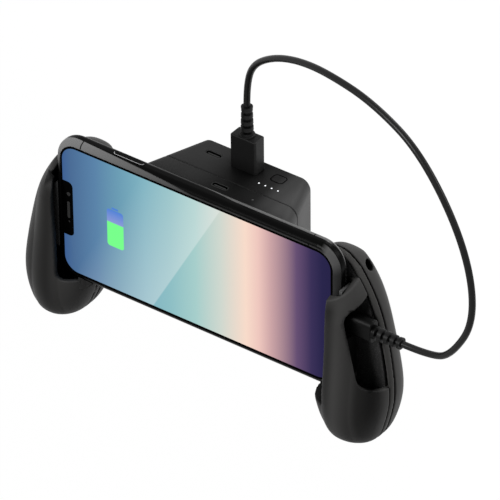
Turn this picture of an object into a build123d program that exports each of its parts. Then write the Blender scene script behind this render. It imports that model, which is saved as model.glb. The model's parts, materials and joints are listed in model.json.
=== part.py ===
from build123d import *
import math
import os

os.makedirs("parts", exist_ok=True)

# A telescoping hand grip for a phone. Two handles on spring-loaded slides clamp the phone's
# ends, a charging module sits behind it, and a battery pack plugs onto the module.
# Everything is drawn about the middle of the phone's front glass: X runs along the phone,
# Y from the glass to the back, Z upwards. The last lines set the assembly on its handles.

# Shared clearances and cuts
overrun = 60.0
thin_gap = 0.1
slide_gap = 0.25
seam_gap = 0.2
glue_gap = 0.02

# Phone
phone_length = 157.5
phone_height = 77.4
phone_depth = 8.3
phone_corner = 12.0
rail_round = 3.4
frame_wall = 3.0
glass_depth = 1.0
display_depth = 0.6
display_length = 149.2
display_height = 68.9
display_corner = 7.6
notch_length = 30.0
notch_depth = 5.6
notch_corner = 2.6
port_width = 8.3
port_depth = 2.4
port_reach = 6.4
key_width = 2.8
key_corner = 1.1
key_proud = 0.35
key_sunk = 1.0
key_travel = 0.25
side_key_length = 16.7
side_key_x = -39.2
volume_key_length = 10.0
volume_key_pitch = 14.0
volume_key_x = -46.0

# Centre module and battery pack: one tapering block behind the phone
pad_depth = 0.4
plate_depth = 1.2
block_front_width = 88.4
block_rear_width = 59.6
block_front_height = 60.0
block_rear_height = 60.0
block_corner = 5.4
block_depth = 39.0
module_depth = 17.2
wall = 2.0
rim_round = 0.6
rear_round = 1.4
coil_outer = 20.0
coil_inner = 9.0
coil_depth = 0.8
ferrite_side = 42.0
ferrite_depth = 0.6
ferrite_corner = 3.0

# Slide arms, racks and pinion
tooth_module = 1.0
pinion_teeth = 12
pressure_angle = 20.0
tooth_backlash = 0.2
rack_addendum = 0.65
pinion_addendum = 0.9
root_clearance = 0.25
arm_depth = 3.0
arm_height = 30.0
arm_gap = 0.3
arm_inner_x = 17.0
arm_corner = 4.0
rack_back = 5.5
rack_reach = 14.0
axle_radius = 1.5
axle_running = 0.05
axle_head_radius = 2.6
axle_head_depth = 0.25
guide_depth = 2.0
guide_length = 70.0
spring_turns = 3
spring_pitch = 1.5
spring_strip = 0.35
spring_width = 2.4
spring_start = 1.85
spring_steps = 10

# Circuit boards, ports and lights
board_depth = 1.2
board_gap = 0.05
module_board_width = 54.0
module_board_height = 48.0
standoff_radius = 2.0
standoff_x = 21.0
standoff_z = 19.0
module_screw_x = 31.0
module_screw_z = 22.0
battery_screw_x = 31.0
battery_screw_z = 21.0
boss_radius = 2.9
screw_radius = 1.1
screw_bore = 1.2
screw_head_radius = 2.1
screw_head_depth = 0.9
screw_length = 9.0
usb_c_width = 8.9
usb_c_depth = 3.2
usb_c_length = 7.5
usb_c_wall = 0.4
tongue_width = 6.4
tongue_depth = 0.8
module_port_x = -0.8
module_port_y = 20.4
lamp_radius = 0.5
lamp_x = 17.3
lamp_length = 7.0
lamp_foot_height = 2.0
pin_radius = 0.9
pin_pitch = 3.0
pin_count = 4
pin_z = -12.0
pin_proud = 0.7
magnet_radius = 4.0
magnet_depth = 2.0
magnet_x = 20.0

# Battery pack
battery_port_x = -17.8
battery_port_y = 38.8
plug_x = 0.6
plug_y = 39.4
usb_a_width = 13.1
usb_a_depth = 5.7
usb_a_length = 14.0
usb_a_wall = 0.35
battery_board_y = 35.2
battery_board_width = 50.0
battery_board_low = 7.0
battery_board_high = 25.5
cell_width = 53.0
cell_depth = 4.6
cell_corner = 3.0
front_cell_low = -25.0
front_cell_high = 19.0
rear_cell_low = -25.0
rear_cell_high = 4.0
button_x = 17.6
button_y = 39.9
button_width = 6.2
button_depth = 5.0
button_corner = 1.4
button_cap = 2.8
button_flange = 0.8
button_flange_edge = 0.8
button_travel = 0.4
switch_side = 5.0
switch_height = 2.0
led_count = 4
led_pitch = 3.5
led_first_x = 12.1
led_y = 32.3
led_radius = 0.5
led_bar_height = 1.5

# Handles, drawn for the right hand: one smooth body cut into three shells
grip_drop = 66.5
grip_height = 100.7
grip_inside = 21.75
grip_outside = 20.95
grip_front = 8.0
grip_depth = 40.0
grip_wall = 2.2
grip_level_shares = (0.0, 0.015, 0.055, 0.124, 0.243, 0.402, 0.581, 0.75, 0.859, 0.938, 0.983, 1.0)
grip_inner_shares = (0.504, 0.42, 0.328, 0.241, 0.152, 0.084, 0.023, 0.0, 0.037, 0.105, 0.187, 0.258)
grip_outer_shares = (0.761, 0.827, 0.89, 0.944, 1.0, 0.984, 0.906, 0.78, 0.639, 0.506, 0.412, 0.342)
grip_front_shares = (0.45, 0.275, 0.138, 0.045, 0.0, 0.03, 0.065, 0.085, 0.145, 0.245, 0.35, 0.44)
grip_rear_shares = (0.75, 0.862, 0.925, 0.99, 1.0, 0.962, 0.932, 0.915, 0.865, 0.765, 0.635, 0.535)
section_squareness = 2.5
section_points = 20
hollow_first = 2
hollow_last = 9
band_front = 10.2
band_depth = 4.0
seam_step = 0.35
slot_gap = 0.35
slot_drop = 4.3
pad_thickness = 1.5
pad_height = 36.0
pad_inset = 0.3
left_pad_low = -23.4
left_pad_high = 9.7
end_wall = 1.8
bulb_drop = 46.0
lip_reach = 4.1
mouth_x = 83.1
mouth_y = 10.5
mouth_z = 21.7
mouth_rise_share = 0.304
mouth_fall_share = 0.401
opening_x = 74.8
opening_low = -37.3
opening_flare_share = 0.066
opening_round = 3.5
plug_hole_height = 16.5
liner_depth = 1.1
liner_inset = 2.6
groove_depth = 1.0
groove_width = 2.6
window_left = 56.6
window_left_z = 7.2
window_low = 62.4
window_low_z = -27.6
window_top_share = 0.5
window_foot_share = 0.355
window_round = 6.0
window_angle = 45.0
grip_screw_x = 73.0
grip_screw_z = 9.0
bulb_screw_x = 84.0
bulb_screw_z = -52.0
grip_boss_radius = 3.0
recess_radius = 2.9
recess_depth = 4.0
recess_wall = 1.4
recess_x = 81.8
recess_y = 19.9
recess_z = 21.8
recess_turn = 17.0
recess_tip = 57.0

# Cable between the battery pack and the phone
cord_radius = 1.6
usb_body_width = 14.1
usb_body_depth = 7.3
usb_body_height = 17.6
usb_body_corner = 0.9
usb_body_round = 0.6
usb_tip_width = 12.0
usb_tip_depth = 4.5
usb_tip_length = 11.8
usb_tip_wall = 0.4
relief_length = 15.7
relief_radius = 2.9
relief_end_radius = 2.7
relief_collar_radius = 3.5
relief_collar_length = 0.7
relief_rings = 3
relief_slot_share = 0.54
relief_slot_depth_share = 0.8
phone_body_length = 16.2
phone_body_width = 11.6
phone_body_depth = 6.4
phone_body_corner = 2.9
phone_body_round = 0.7
phone_tip_length = 6.0
phone_relief_length = 15.0
phone_relief_radius = 3.0
phone_relief_end_radius = 2.4

# Places that follow from the sizes above
phone_end = phone_length / 2
phone_top = phone_height / 2
port_y = phone_depth / 2
block_front = phone_depth + pad_depth
module_rear = block_front + module_depth
battery_front = module_rear + seam_gap
battery_rear = block_front + block_depth
width_taper = (block_front_width - block_rear_width) / 2 / block_depth
height_taper = (block_front_height - block_rear_height) / 2 / block_depth
coil_front = block_front + plate_depth
ferrite_front = coil_front + coil_depth
arm_front = ferrite_front + ferrite_depth + arm_gap
arm_rear = arm_front + arm_depth
pitch_radius = tooth_module * pinion_teeth / 2
module_board_y = arm_rear + slide_gap + spring_width + board_gap + slide_gap
grip_inner_x = phone_end - grip_inside
grip_width = grip_inside + grip_outside
slot_end = phone_end + slot_gap + pad_thickness
band_rear = band_front + band_depth


def half_width(y, inset=0):
    """Half the block's width at a depth behind the phone."""
    return block_front_width / 2 - width_taper * (y - block_front) - inset


def half_height(y, inset=0):
    """Half the block's height at a depth behind the phone."""
    return block_front_height / 2 - height_taper * (y - block_front) - inset


def block(x0, x1, y0, y1, z0, z1):
    """A plain box between two corners."""
    middle = ((x0 + x1) / 2, (y0 + y1) / 2, (z0 + z1) / 2)
    return Pos(*middle) * Box(x1 - x0, y1 - y0, z1 - z0)


def slab(sketch, y0, y1):
    """A sketch of X and Z, as thick as the two depths."""
    return extrude(Plane.XZ.offset(-y1) * sketch, y1 - y0)


def pin(x, z, y0, y1, radius):
    """A round pin along Y."""
    return slab(Pos(x, z) * Circle(radius), y0, y1)


def column(sketch, x, y, z0, z1):
    """A sketch of X and Y, standing between two heights."""
    return Pos(x, y, z0) * extrude(sketch, z1 - z0)


def rounded_plate(width, height, corner, y0, y1):
    """A plate with rounded corners, facing along Y."""
    return slab(RectangleRounded(width, height, corner), y0, y1)


def both_sides(shape):
    """The shape and its mirror image across the middle."""
    return shape + shape.mirror(Plane.YZ)


def rest_on_handles():
    """How far the assembly moves so that it stands on the ground, about its middle."""
    solids = [s for name, s in made.items() if name not in cable_nodes]
    box = Compound(children=[Compound(s.solids()) for s in solids]).bounding_box()
    return Pos(0, -(box.min.Y + box.max.Y) / 2, -box.min.Z)


made = {}


def keep(name, shape):
    """Notes a finished sub-part under its name."""
    made[name] = shape


# Phone

def make_phone():
    """The held phone: metal band, front and back glass, lit display, keys and core."""
    inner_length = phone_length - 2 * frame_wall
    inner_height = phone_height - 2 * frame_wall
    inner_corner = phone_corner - frame_wall
    band = rounded_plate(phone_length, phone_height, phone_corner, 0, phone_depth)
    rims = band.faces().filter_by(Axis.Y).edges()
    band = fillet(rims, rail_round)
    band -= rounded_plate(inner_length, inner_height, inner_corner, 0, phone_depth)
    port_hole = block(
        phone_end - port_reach, phone_end + overrun, port_y - port_depth / 2 - thin_gap,
        port_y + port_depth / 2 + thin_gap, -port_width / 2 - thin_gap, port_width / 2 + thin_gap,
    )
    band -= port_hole

    display = RectangleRounded(display_length, display_height, display_corner)
    notch = Pos(-display_length / 2, 0) * RectangleRounded(2 * notch_depth, notch_length, notch_corner)
    display -= notch
    lit = slab(display, 0, display_depth)
    glass = rounded_plate(inner_length, inner_height, inner_corner, 0, glass_depth) - lit
    back = rounded_plate(inner_length, inner_height, inner_corner, phone_depth - glass_depth, phone_depth)
    core = rounded_plate(inner_length, inner_height, inner_corner, glass_depth, phone_depth - glass_depth)
    core -= port_hole

    for name, x, length, side in (
        ("phone_side_key", side_key_x, side_key_length, 1),
        ("phone_volume_up_key", volume_key_x, volume_key_length, -1),
        ("phone_volume_down_key", volume_key_x + volume_key_pitch, volume_key_length, -1),
    ):
        cap = RectangleRounded(length, key_width, key_corner)
        low = phone_top - key_sunk
        key = column(cap, x, port_y, low, phone_top + key_proud)
        well_shape = RectangleRounded(length + 2 * thin_gap, key_width + 2 * thin_gap, key_corner + thin_gap)
        well = column(well_shape, x, port_y, low - key_travel - thin_gap, phone_top + overrun)
        if side < 0:
            key = key.mirror(Plane.XY)
            well = well.mirror(Plane.XY)
        band -= well
        keep(name, key)
    keep("phone_frame", band)
    keep("phone_front_glass", glass)
    keep("phone_display", lit)
    keep("phone_back_glass", back)
    keep("phone_core", core)


# Centre module

def tapered(y0, y1, inset=0):
    """A slice of the block behind the phone, with its sides drawn in by a wall."""
    ends = []
    for y in (y0, y1):
        face = RectangleRounded(2 * half_width(y, inset), 2 * half_height(y, inset), block_corner - inset)
        ends.append(Plane.XZ.offset(-y) * face)
    return loft(ends, ruled=True)


def usb_c_port(x, y, top):
    """A socket shell with its tongue, standing with its mouth upwards."""
    outer = RectangleRounded(usb_c_width, usb_c_depth, usb_c_depth / 2 - glue_gap)
    hole = offset(outer, -usb_c_wall)
    shell = column(outer, x, y, top - usb_c_length, top)
    shell -= column(hole, x, y, top - usb_c_length + usb_c_wall, top)
    tongue = column(Rectangle(tongue_width, tongue_depth), x, y, top - usb_c_length, top - usb_c_wall)
    return shell + tongue


def usb_c_mouth(x, y):
    """The opening that a socket shell needs in the wall above it."""
    mouth = RectangleRounded(usb_c_width + 2 * thin_gap, usb_c_depth + 2 * thin_gap, usb_c_depth / 2 + glue_gap)
    return column(mouth, x, y, 0, overrun)


def corner_places(x, z):
    """Four places, one near each corner of the block."""
    return [(side * x, up * z) for side in (-1, 1) for up in (-1, 1)]


def screw(x, z, y_head, length, direction):
    """A screw along Y with its head at one end, pointing to the back (1) or the front (-1)."""
    head_end = y_head + direction * screw_head_depth
    tip = y_head + direction * length
    head = pin(x, z, min(y_head, head_end), max(y_head, head_end), screw_head_radius)
    shank = pin(x, z, min(y_head, tip), max(y_head, tip), screw_radius)
    drive = pin(x, z, min(y_head, y_head + direction * screw_head_depth / 2),
                max(y_head, y_head + direction * screw_head_depth / 2), screw_radius)
    return head + shank - drive


def make_module():
    """The charging module's shell, rest plate, coil, board, port and slide drive."""
    shell = tapered(block_front, module_rear)
    shell = fillet(shell.faces().sort_by(Axis.Y)[-1].edges(), rim_round)
    shell -= tapered(block_front, module_rear - wall, wall)
    for x, z in corner_places(module_screw_x, module_screw_z):
        shell += pin(x, z, coil_front + thin_gap, module_rear - wall, boss_radius)
        shell -= pin(x, z, coil_front, module_rear - wall, screw_bore)
    for x, z in corner_places(standoff_x, standoff_z):
        shell += pin(x, z, module_board_y + board_depth, module_rear - wall, standoff_radius)
    shell += pin(0, 0, module_board_y + board_depth, module_rear - wall, boss_radius)
    shell -= pin(0, 0, module_board_y, module_rear - wall, axle_radius + glue_gap)
    arm_low = arm_height / 2 + slide_gap
    shell -= block(-overrun, overrun, arm_front - slide_gap, arm_rear + slide_gap, -arm_low, arm_low)
    shell -= usb_c_mouth(module_port_x, module_port_y)
    shell -= column(Circle(lamp_radius + thin_gap), lamp_x, module_port_y, 0, overrun)
    for i in range(pin_count):
        x = (i - (pin_count - 1) / 2) * pin_pitch
        shell -= pin(x, pin_z, module_board_y, module_rear, pin_radius + thin_gap)
    keep("module_shell", shell)

    plate_front = half_width(block_front, wall + thin_gap)
    plate_high = half_height(block_front, wall + thin_gap)
    plate_end = coil_front
    narrow = half_width(plate_end, wall + thin_gap)
    low = half_height(plate_end, wall + thin_gap)
    plate = rounded_plate(2 * min(plate_front, narrow), 2 * min(plate_high, low), block_corner - wall,
                          block_front, plate_end)
    screws = []
    for x, z in corner_places(module_screw_x, module_screw_z):
        plate -= pin(x, z, block_front, plate_end, screw_bore)
        plate -= pin(x, z, block_front, block_front + screw_head_depth + thin_gap, screw_head_radius + thin_gap)
        screws.append(screw(x, z, block_front + thin_gap, screw_length, 1))
    keep("rest_plate", plate)
    keep("module_screws", Compound(screws))

    pads = []
    pad_x = half_width(block_front) - 3 * wall
    for side in (-1, 1):
        strip = rounded_plate(4 * wall, block_front_height / 2, wall, phone_depth, block_front)
        pads.append(Pos(side * (pad_x - 2 * wall), 0, 0) * strip)
    keep("rest_pads", Compound(pads))

    keep("charging_coil", pin(0, 0, coil_front, ferrite_front, coil_outer)
         - pin(0, 0, coil_front, ferrite_front, coil_inner))
    keep("ferrite_sheet", rounded_plate(ferrite_side, ferrite_side, ferrite_corner,
                                        ferrite_front, ferrite_front + ferrite_depth))

    board = rounded_plate(module_board_width, module_board_height, wall,
                          module_board_y, module_board_y + board_depth)
    board -= pin(0, 0, module_board_y, module_board_y + board_depth, axle_radius + slide_gap)
    keep("module_board", board)

    port_top = half_height(module_port_y) - thin_gap
    keep("module_usb_c_port", usb_c_port(module_port_x, module_port_y, port_top))
    lamp_low = port_top - lamp_length
    lamp = column(Circle(lamp_radius), lamp_x, module_port_y, lamp_low, port_top)
    lamp += block(lamp_x - 2 * lamp_radius, lamp_x + 2 * lamp_radius, module_board_y + board_depth,
                  module_port_y + lamp_radius, lamp_low - lamp_foot_height, lamp_low)
    keep("indicator_light_pipe", lamp)

    pins = []
    for i in range(pin_count):
        x = (i - (pin_count - 1) / 2) * pin_pitch
        pins.append(pin(x, pin_z, module_board_y + board_depth, module_rear + pin_proud, pin_radius))
    keep("contact_pins", Compound(pins))
    keep("module_magnets", both_sides(pin(magnet_x, 0, module_rear - wall - magnet_depth,
                                          module_rear - wall, magnet_radius)))

    guide_z = arm_height / 2 + slide_gap
    guides = block(-guide_length / 2, guide_length / 2, arm_front, module_board_y, guide_z, guide_z + guide_depth)
    keep("slide_guides", guides + guides.mirror(Plane.XY))


# Slide drive

def involute(angle):
    """The involute of a pressure angle, in radians."""
    return math.tan(angle) - angle


def pinion_outline():
    """The pinion's outline, with a gap between two teeth pointing straight down."""
    base = pitch_radius * math.cos(math.radians(pressure_angle))
    tip = pitch_radius + pinion_addendum
    root = pitch_radius - rack_addendum - root_clearance
    half = math.pi / (2 * pinion_teeth) - tooth_backlash / (2 * pitch_radius)
    at_pitch = involute(math.radians(pressure_angle))
    steps = 5
    flank = [(root, half + at_pitch)]
    for i in range(steps + 1):
        radius = base + (tip - base) * i / steps
        flank.append((radius, half + at_pitch - involute(math.acos(base / radius))))
    points = []
    for tooth in range(pinion_teeth):
        middle = (tooth + 1 / 2) * 2 * math.pi / pinion_teeth - math.pi / 2
        for radius, turn in flank:
            points.append((radius * math.cos(middle - turn), radius * math.sin(middle - turn)))
        for radius, turn in reversed(flank):
            points.append((radius * math.cos(middle + turn), radius * math.sin(middle + turn)))
    return make_face(Polyline(*points, close=True))


def rack_outline():
    """The right arm's rack, its teeth pointing up at the pinion, one tooth at the middle."""
    slope = math.tan(math.radians(pressure_angle))
    pitch = math.pi * tooth_module
    tip = -pitch_radius + rack_addendum
    root = -pitch_radius - pinion_addendum - root_clearance
    half = pitch / 4 - tooth_backlash / 2
    count = math.ceil(rack_reach / pitch)
    left = -rack_reach
    points = [(left, root - rack_back), (left, root)]
    for i in range(-count + 1, count + 1):
        middle = i * pitch
        wide = half + (-pitch_radius - root) * slope
        narrow = half - (tip + pitch_radius) * slope
        if middle - wide <= left or middle + wide >= arm_inner_x:
            continue
        points += [(middle - wide, root), (middle - narrow, tip), (middle + narrow, tip), (middle + wide, root)]
    points += [(arm_inner_x, root), (arm_inner_x, root - rack_back)]
    return make_face(Polyline(*points, close=True))


def right_arm():
    """The right slide arm: a flat plate that carries the handle, and its rack."""
    wide = phone_end - arm_inner_x
    plate = Pos(arm_inner_x + wide / 2, 0) * RectangleRounded(wide, arm_height, arm_corner)
    rack = rack_outline()
    joint = Rectangle(arm_corner + 2 * thin_gap, rack_back)
    joint = Pos(arm_inner_x + arm_corner / 2, -pitch_radius - rack_back) * joint
    arm = slab(plate, arm_front, arm_rear) + slab(rack, arm_front, arm_rear) + slab(joint, arm_front, arm_rear)
    for z in (-grip_screw_z, grip_screw_z):
        arm -= pin(grip_screw_x, z, arm_front, arm_rear, screw_bore)
    return arm


def return_spring():
    """A flat spiral spring round the pinion's axle."""
    inner = []
    outer = []
    for i in range(spring_turns * spring_steps + 1):
        turn = 2 * math.pi * i / spring_steps
        radius = spring_start + spring_pitch * i / spring_steps
        inner.append((radius * math.cos(turn), radius * math.sin(turn)))
        outer.append(((radius + spring_strip) * math.cos(turn), (radius + spring_strip) * math.sin(turn)))
    edges = [Spline(*inner), Line(inner[-1], outer[-1]), Spline(*reversed(outer)), Line(outer[0], inner[0])]
    return slab(make_face(edges), arm_rear + slide_gap, arm_rear + slide_gap + spring_width)


def make_slide_drive():
    """The two arms, the pinion that ties them together, its axle and its spring."""
    arm = right_arm()
    keep("right_slide_arm", arm)
    keep("left_slide_arm", Rot(0, 180, 0) * arm)
    pinion = slab(pinion_outline(), arm_front + thin_gap, arm_rear - thin_gap)
    pinion -= pin(0, 0, arm_front, arm_rear, axle_radius + axle_running)
    keep("pinion", pinion)
    axle = pin(0, 0, arm_front - axle_head_depth, module_rear - wall, axle_radius)
    axle += pin(0, 0, arm_front - axle_head_depth, arm_front, axle_head_radius)
    keep("pinion_axle", axle)
    keep("return_spring", return_spring())


# Battery pack

def make_battery():
    """The battery pack: shell, front cover, cells, board, sockets, button and lights."""
    shell = tapered(battery_front, battery_rear)
    shell = fillet(shell.faces().sort_by(Axis.Y)[-1].edges(), rear_round)
    shell = fillet(shell.faces().sort_by(Axis.Y)[0].edges(), rim_round)
    shell -= tapered(battery_front, battery_rear - wall, wall)
    cover_rear = battery_front + wall
    inner_rear = battery_rear - wall
    for x, z in corner_places(battery_screw_x, battery_screw_z):
        boss = pin(x, z, cover_rear, inner_rear, boss_radius) & tapered(battery_front, battery_rear - wall, wall / 2)
        shell += boss
        shell -= pin(x, z, cover_rear, cover_rear + screw_length, screw_bore)
    top = half_height(battery_port_y) + wall
    port_top = half_height(battery_port_y) - thin_gap
    shell -= usb_c_mouth(battery_port_x, battery_port_y)
    socket = Rectangle(usb_a_width + 2 * thin_gap, usb_a_depth + 2 * thin_gap)
    shell -= column(socket, plug_x, plug_y, 0, top)
    cap_well = RectangleRounded(button_width + 2 * thin_gap, button_depth + 2 * thin_gap, button_corner + thin_gap)
    shell -= column(cap_well, button_x, button_y, 0, top)
    leds = [led_first_x + i * led_pitch for i in range(led_count)]
    for x in leds:
        shell -= column(Circle(led_radius + thin_gap), x, led_y, 0, top)
    keep("battery_shell", shell)

    flat = half_width(cover_rear, wall + thin_gap)
    high = half_height(cover_rear, wall + thin_gap)
    cover = rounded_plate(2 * flat, 2 * high, block_corner - wall, battery_front, cover_rear)
    screws = []
    for x, z in corner_places(battery_screw_x, battery_screw_z):
        cover -= pin(x, z, battery_front, cover_rear, screw_bore)
        cover -= pin(x, z, battery_front, battery_front + screw_head_depth + thin_gap, screw_head_radius + thin_gap)
        screws.append(screw(x, z, battery_front + thin_gap, screw_length, 1))
    pads = []
    for i in range(pin_count):
        x = (i - (pin_count - 1) / 2) * pin_pitch
        cover -= pin(x, pin_z, battery_front, cover_rear, pin_radius + slide_gap)
        pads.append(pin(x, pin_z, module_rear + pin_proud + thin_gap, cover_rear + thin_gap, pin_radius + thin_gap))
    keep("battery_front_cover", cover)
    keep("battery_screws", Compound(screws))
    keep("battery_contacts", Compound(pads))
    magnet = pin(magnet_x, 0, cover_rear, cover_rear + magnet_depth, magnet_radius)
    keep("battery_magnets", both_sides(magnet))

    cell_front = cover_rear + magnet_depth + slide_gap
    front_cell = Pos(0, 0, (front_cell_low + front_cell_high) / 2) * rounded_plate(
        cell_width, front_cell_high - front_cell_low, cell_corner, cell_front, cell_front + cell_depth)
    rear_front = inner_rear - slide_gap - cell_depth
    rear_cell = Pos(0, 0, (rear_cell_low + rear_cell_high) / 2) * rounded_plate(
        cell_width, rear_cell_high - rear_cell_low, cell_corner, rear_front, rear_front + cell_depth)
    keep("battery_cells", Compound([front_cell, rear_cell]))
    board_z = (battery_board_low + battery_board_high) / 2
    board = Pos(0, 0, board_z) * rounded_plate(
        battery_board_width, battery_board_high - battery_board_low, wall,
        battery_board_y, battery_board_y + board_depth)
    keep("battery_board", board)
    keep("battery_usb_c_port", usb_c_port(battery_port_x, battery_port_y, port_top))

    socket_top = half_height(plug_y) - thin_gap
    socket_low = socket_top - usb_a_length
    socket = column(Rectangle(usb_a_width, usb_a_depth), plug_x, plug_y, socket_low, socket_top)
    hollow = Rectangle(usb_a_width - 2 * usb_a_wall, usb_a_depth - 2 * usb_a_wall)
    socket -= column(hollow, plug_x, plug_y, socket_low + usb_a_wall, socket_top)
    keep("usb_a_port", socket)

    button_top = half_height(button_y) + thin_gap
    cap = RectangleRounded(button_width, button_depth, button_corner)
    button = column(cap, button_x, button_y, button_top - button_cap, button_top)
    button = fillet(button.faces().sort_by(Axis.Z)[-1].edges(), thin_gap * 3)
    flange_top = half_height(button_y, wall) - slide_gap
    flange = RectangleRounded(button_width + 2 * button_flange_edge, button_depth + button_flange_edge, button_corner)
    button += column(flange, button_x, button_y - button_flange_edge / 2, flange_top - button_flange, flange_top)
    keep("power_button", button)
    switch_top = flange_top - button_flange - button_travel - thin_gap
    switch = block(button_x - switch_side / 2, button_x + switch_side / 2, battery_board_y + board_depth,
                   button_y + switch_side / 2 - wall, switch_top - switch_height, switch_top)
    keep("button_switch", switch)

    bar_top = battery_board_high
    guide_top = half_height(led_y) + glue_gap
    guides = block(leds[0] - 2 * led_radius, leds[-1] + 2 * led_radius, led_y - 2 * led_radius,
                   battery_board_y, bar_top - led_bar_height, bar_top)
    for x in leds:
        guides += column(Circle(led_radius), x, led_y, bar_top - led_bar_height, guide_top)
    keep("led_light_guide", guides)


# Handles

def grip_section(index, inset=0, lift=0):
    """One level of the handle's body, as a rounded closed outline."""
    z = -grip_drop + grip_height * grip_level_shares[index] + lift
    x0 = grip_inner_x + grip_width * grip_inner_shares[index] + inset
    x1 = grip_inner_x + grip_width * grip_outer_shares[index] - inset
    y0 = -grip_front + grip_depth * grip_front_shares[index] + inset
    y1 = -grip_front + grip_depth * grip_rear_shares[index] - inset
    points = []
    for i in range(section_points):
        turn = 2 * math.pi * i / section_points
        c = math.cos(turn)
        s = math.sin(turn)
        px = math.copysign(abs(c) ** (2 / section_squareness), c)
        py = math.copysign(abs(s) ** (2 / section_squareness), s)
        points.append(Vector((x0 + x1) / 2 + px * (x1 - x0) / 2, (y0 + y1) / 2 + py * (y1 - y0) / 2, z))
    return make_face(Spline(*points, periodic=True))


def grip_hollow(inset):
    """The space inside the handle's wall."""
    return loft([grip_section(i, inset) for i in range(hollow_first, hollow_last + 1)])


def whole_slab(y0, y1):
    """Everything on the right hand side between two depths."""
    return block(0, phone_end + overrun, y0, y1, -2 * overrun, 2 * overrun)


def grooved_body():
    """The handle's outer form with a fine groove along each of its two seams."""
    body = loft([grip_section(i) for i in range(len(grip_level_shares))])
    inner = loft([grip_section(i, seam_step) for i in range(len(grip_level_shares))])
    for y in (band_front, band_rear):
        body -= (body & whole_slab(y - seam_step, y + seam_step)) - inner
    return body


def window_cutter():
    """The opening in the right handle's side that the cable leaves through."""
    depth = math.radians(window_angle)
    plane = Plane(origin=(0, 0, 0), x_dir=(math.cos(depth), math.sin(depth), 0),
                  z_dir=(math.sin(depth), -math.cos(depth), 0))
    wide = window_left + overrun
    points = [
        (window_left, window_left_z), (wide, window_left_z + overrun * window_top_share),
        (wide, window_low_z - (wide - window_low) * window_foot_share), (window_low, window_low_z),
    ]
    outline = make_face(Polyline(*points, close=True))
    left_corners = outline.vertices().sort_by(Axis.X)[:2]
    outline = fillet(left_corners, window_round)
    return extrude(plane * outline, 2 * overrun)


def above_mouth():
    """Everything above the sloping cut that opens the top of a handle's front shell."""
    tilted = Plane(origin=(mouth_x, mouth_y, mouth_z), z_dir=(-mouth_rise_share, -mouth_fall_share, 1))
    return tilted * Box(4 * overrun, 4 * overrun, overrun, align=(Align.CENTER, Align.CENTER, Align.MIN))


def left_opening():
    """The opening in the left handle's front wall, flaring upwards, that shows the phone's end."""
    flare = opening_flare_share * (overrun - opening_low)
    points = [(0, opening_low), (opening_x, opening_low), (opening_x + flare, overrun), (0, overrun)]
    outline = make_face(Polyline(*points, close=True))
    corner = outline.vertices().group_by(Axis.Y)[0].sort_by(Axis.X)[-1]
    return slab(fillet(corner, opening_round), -overrun, phone_depth)


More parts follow.
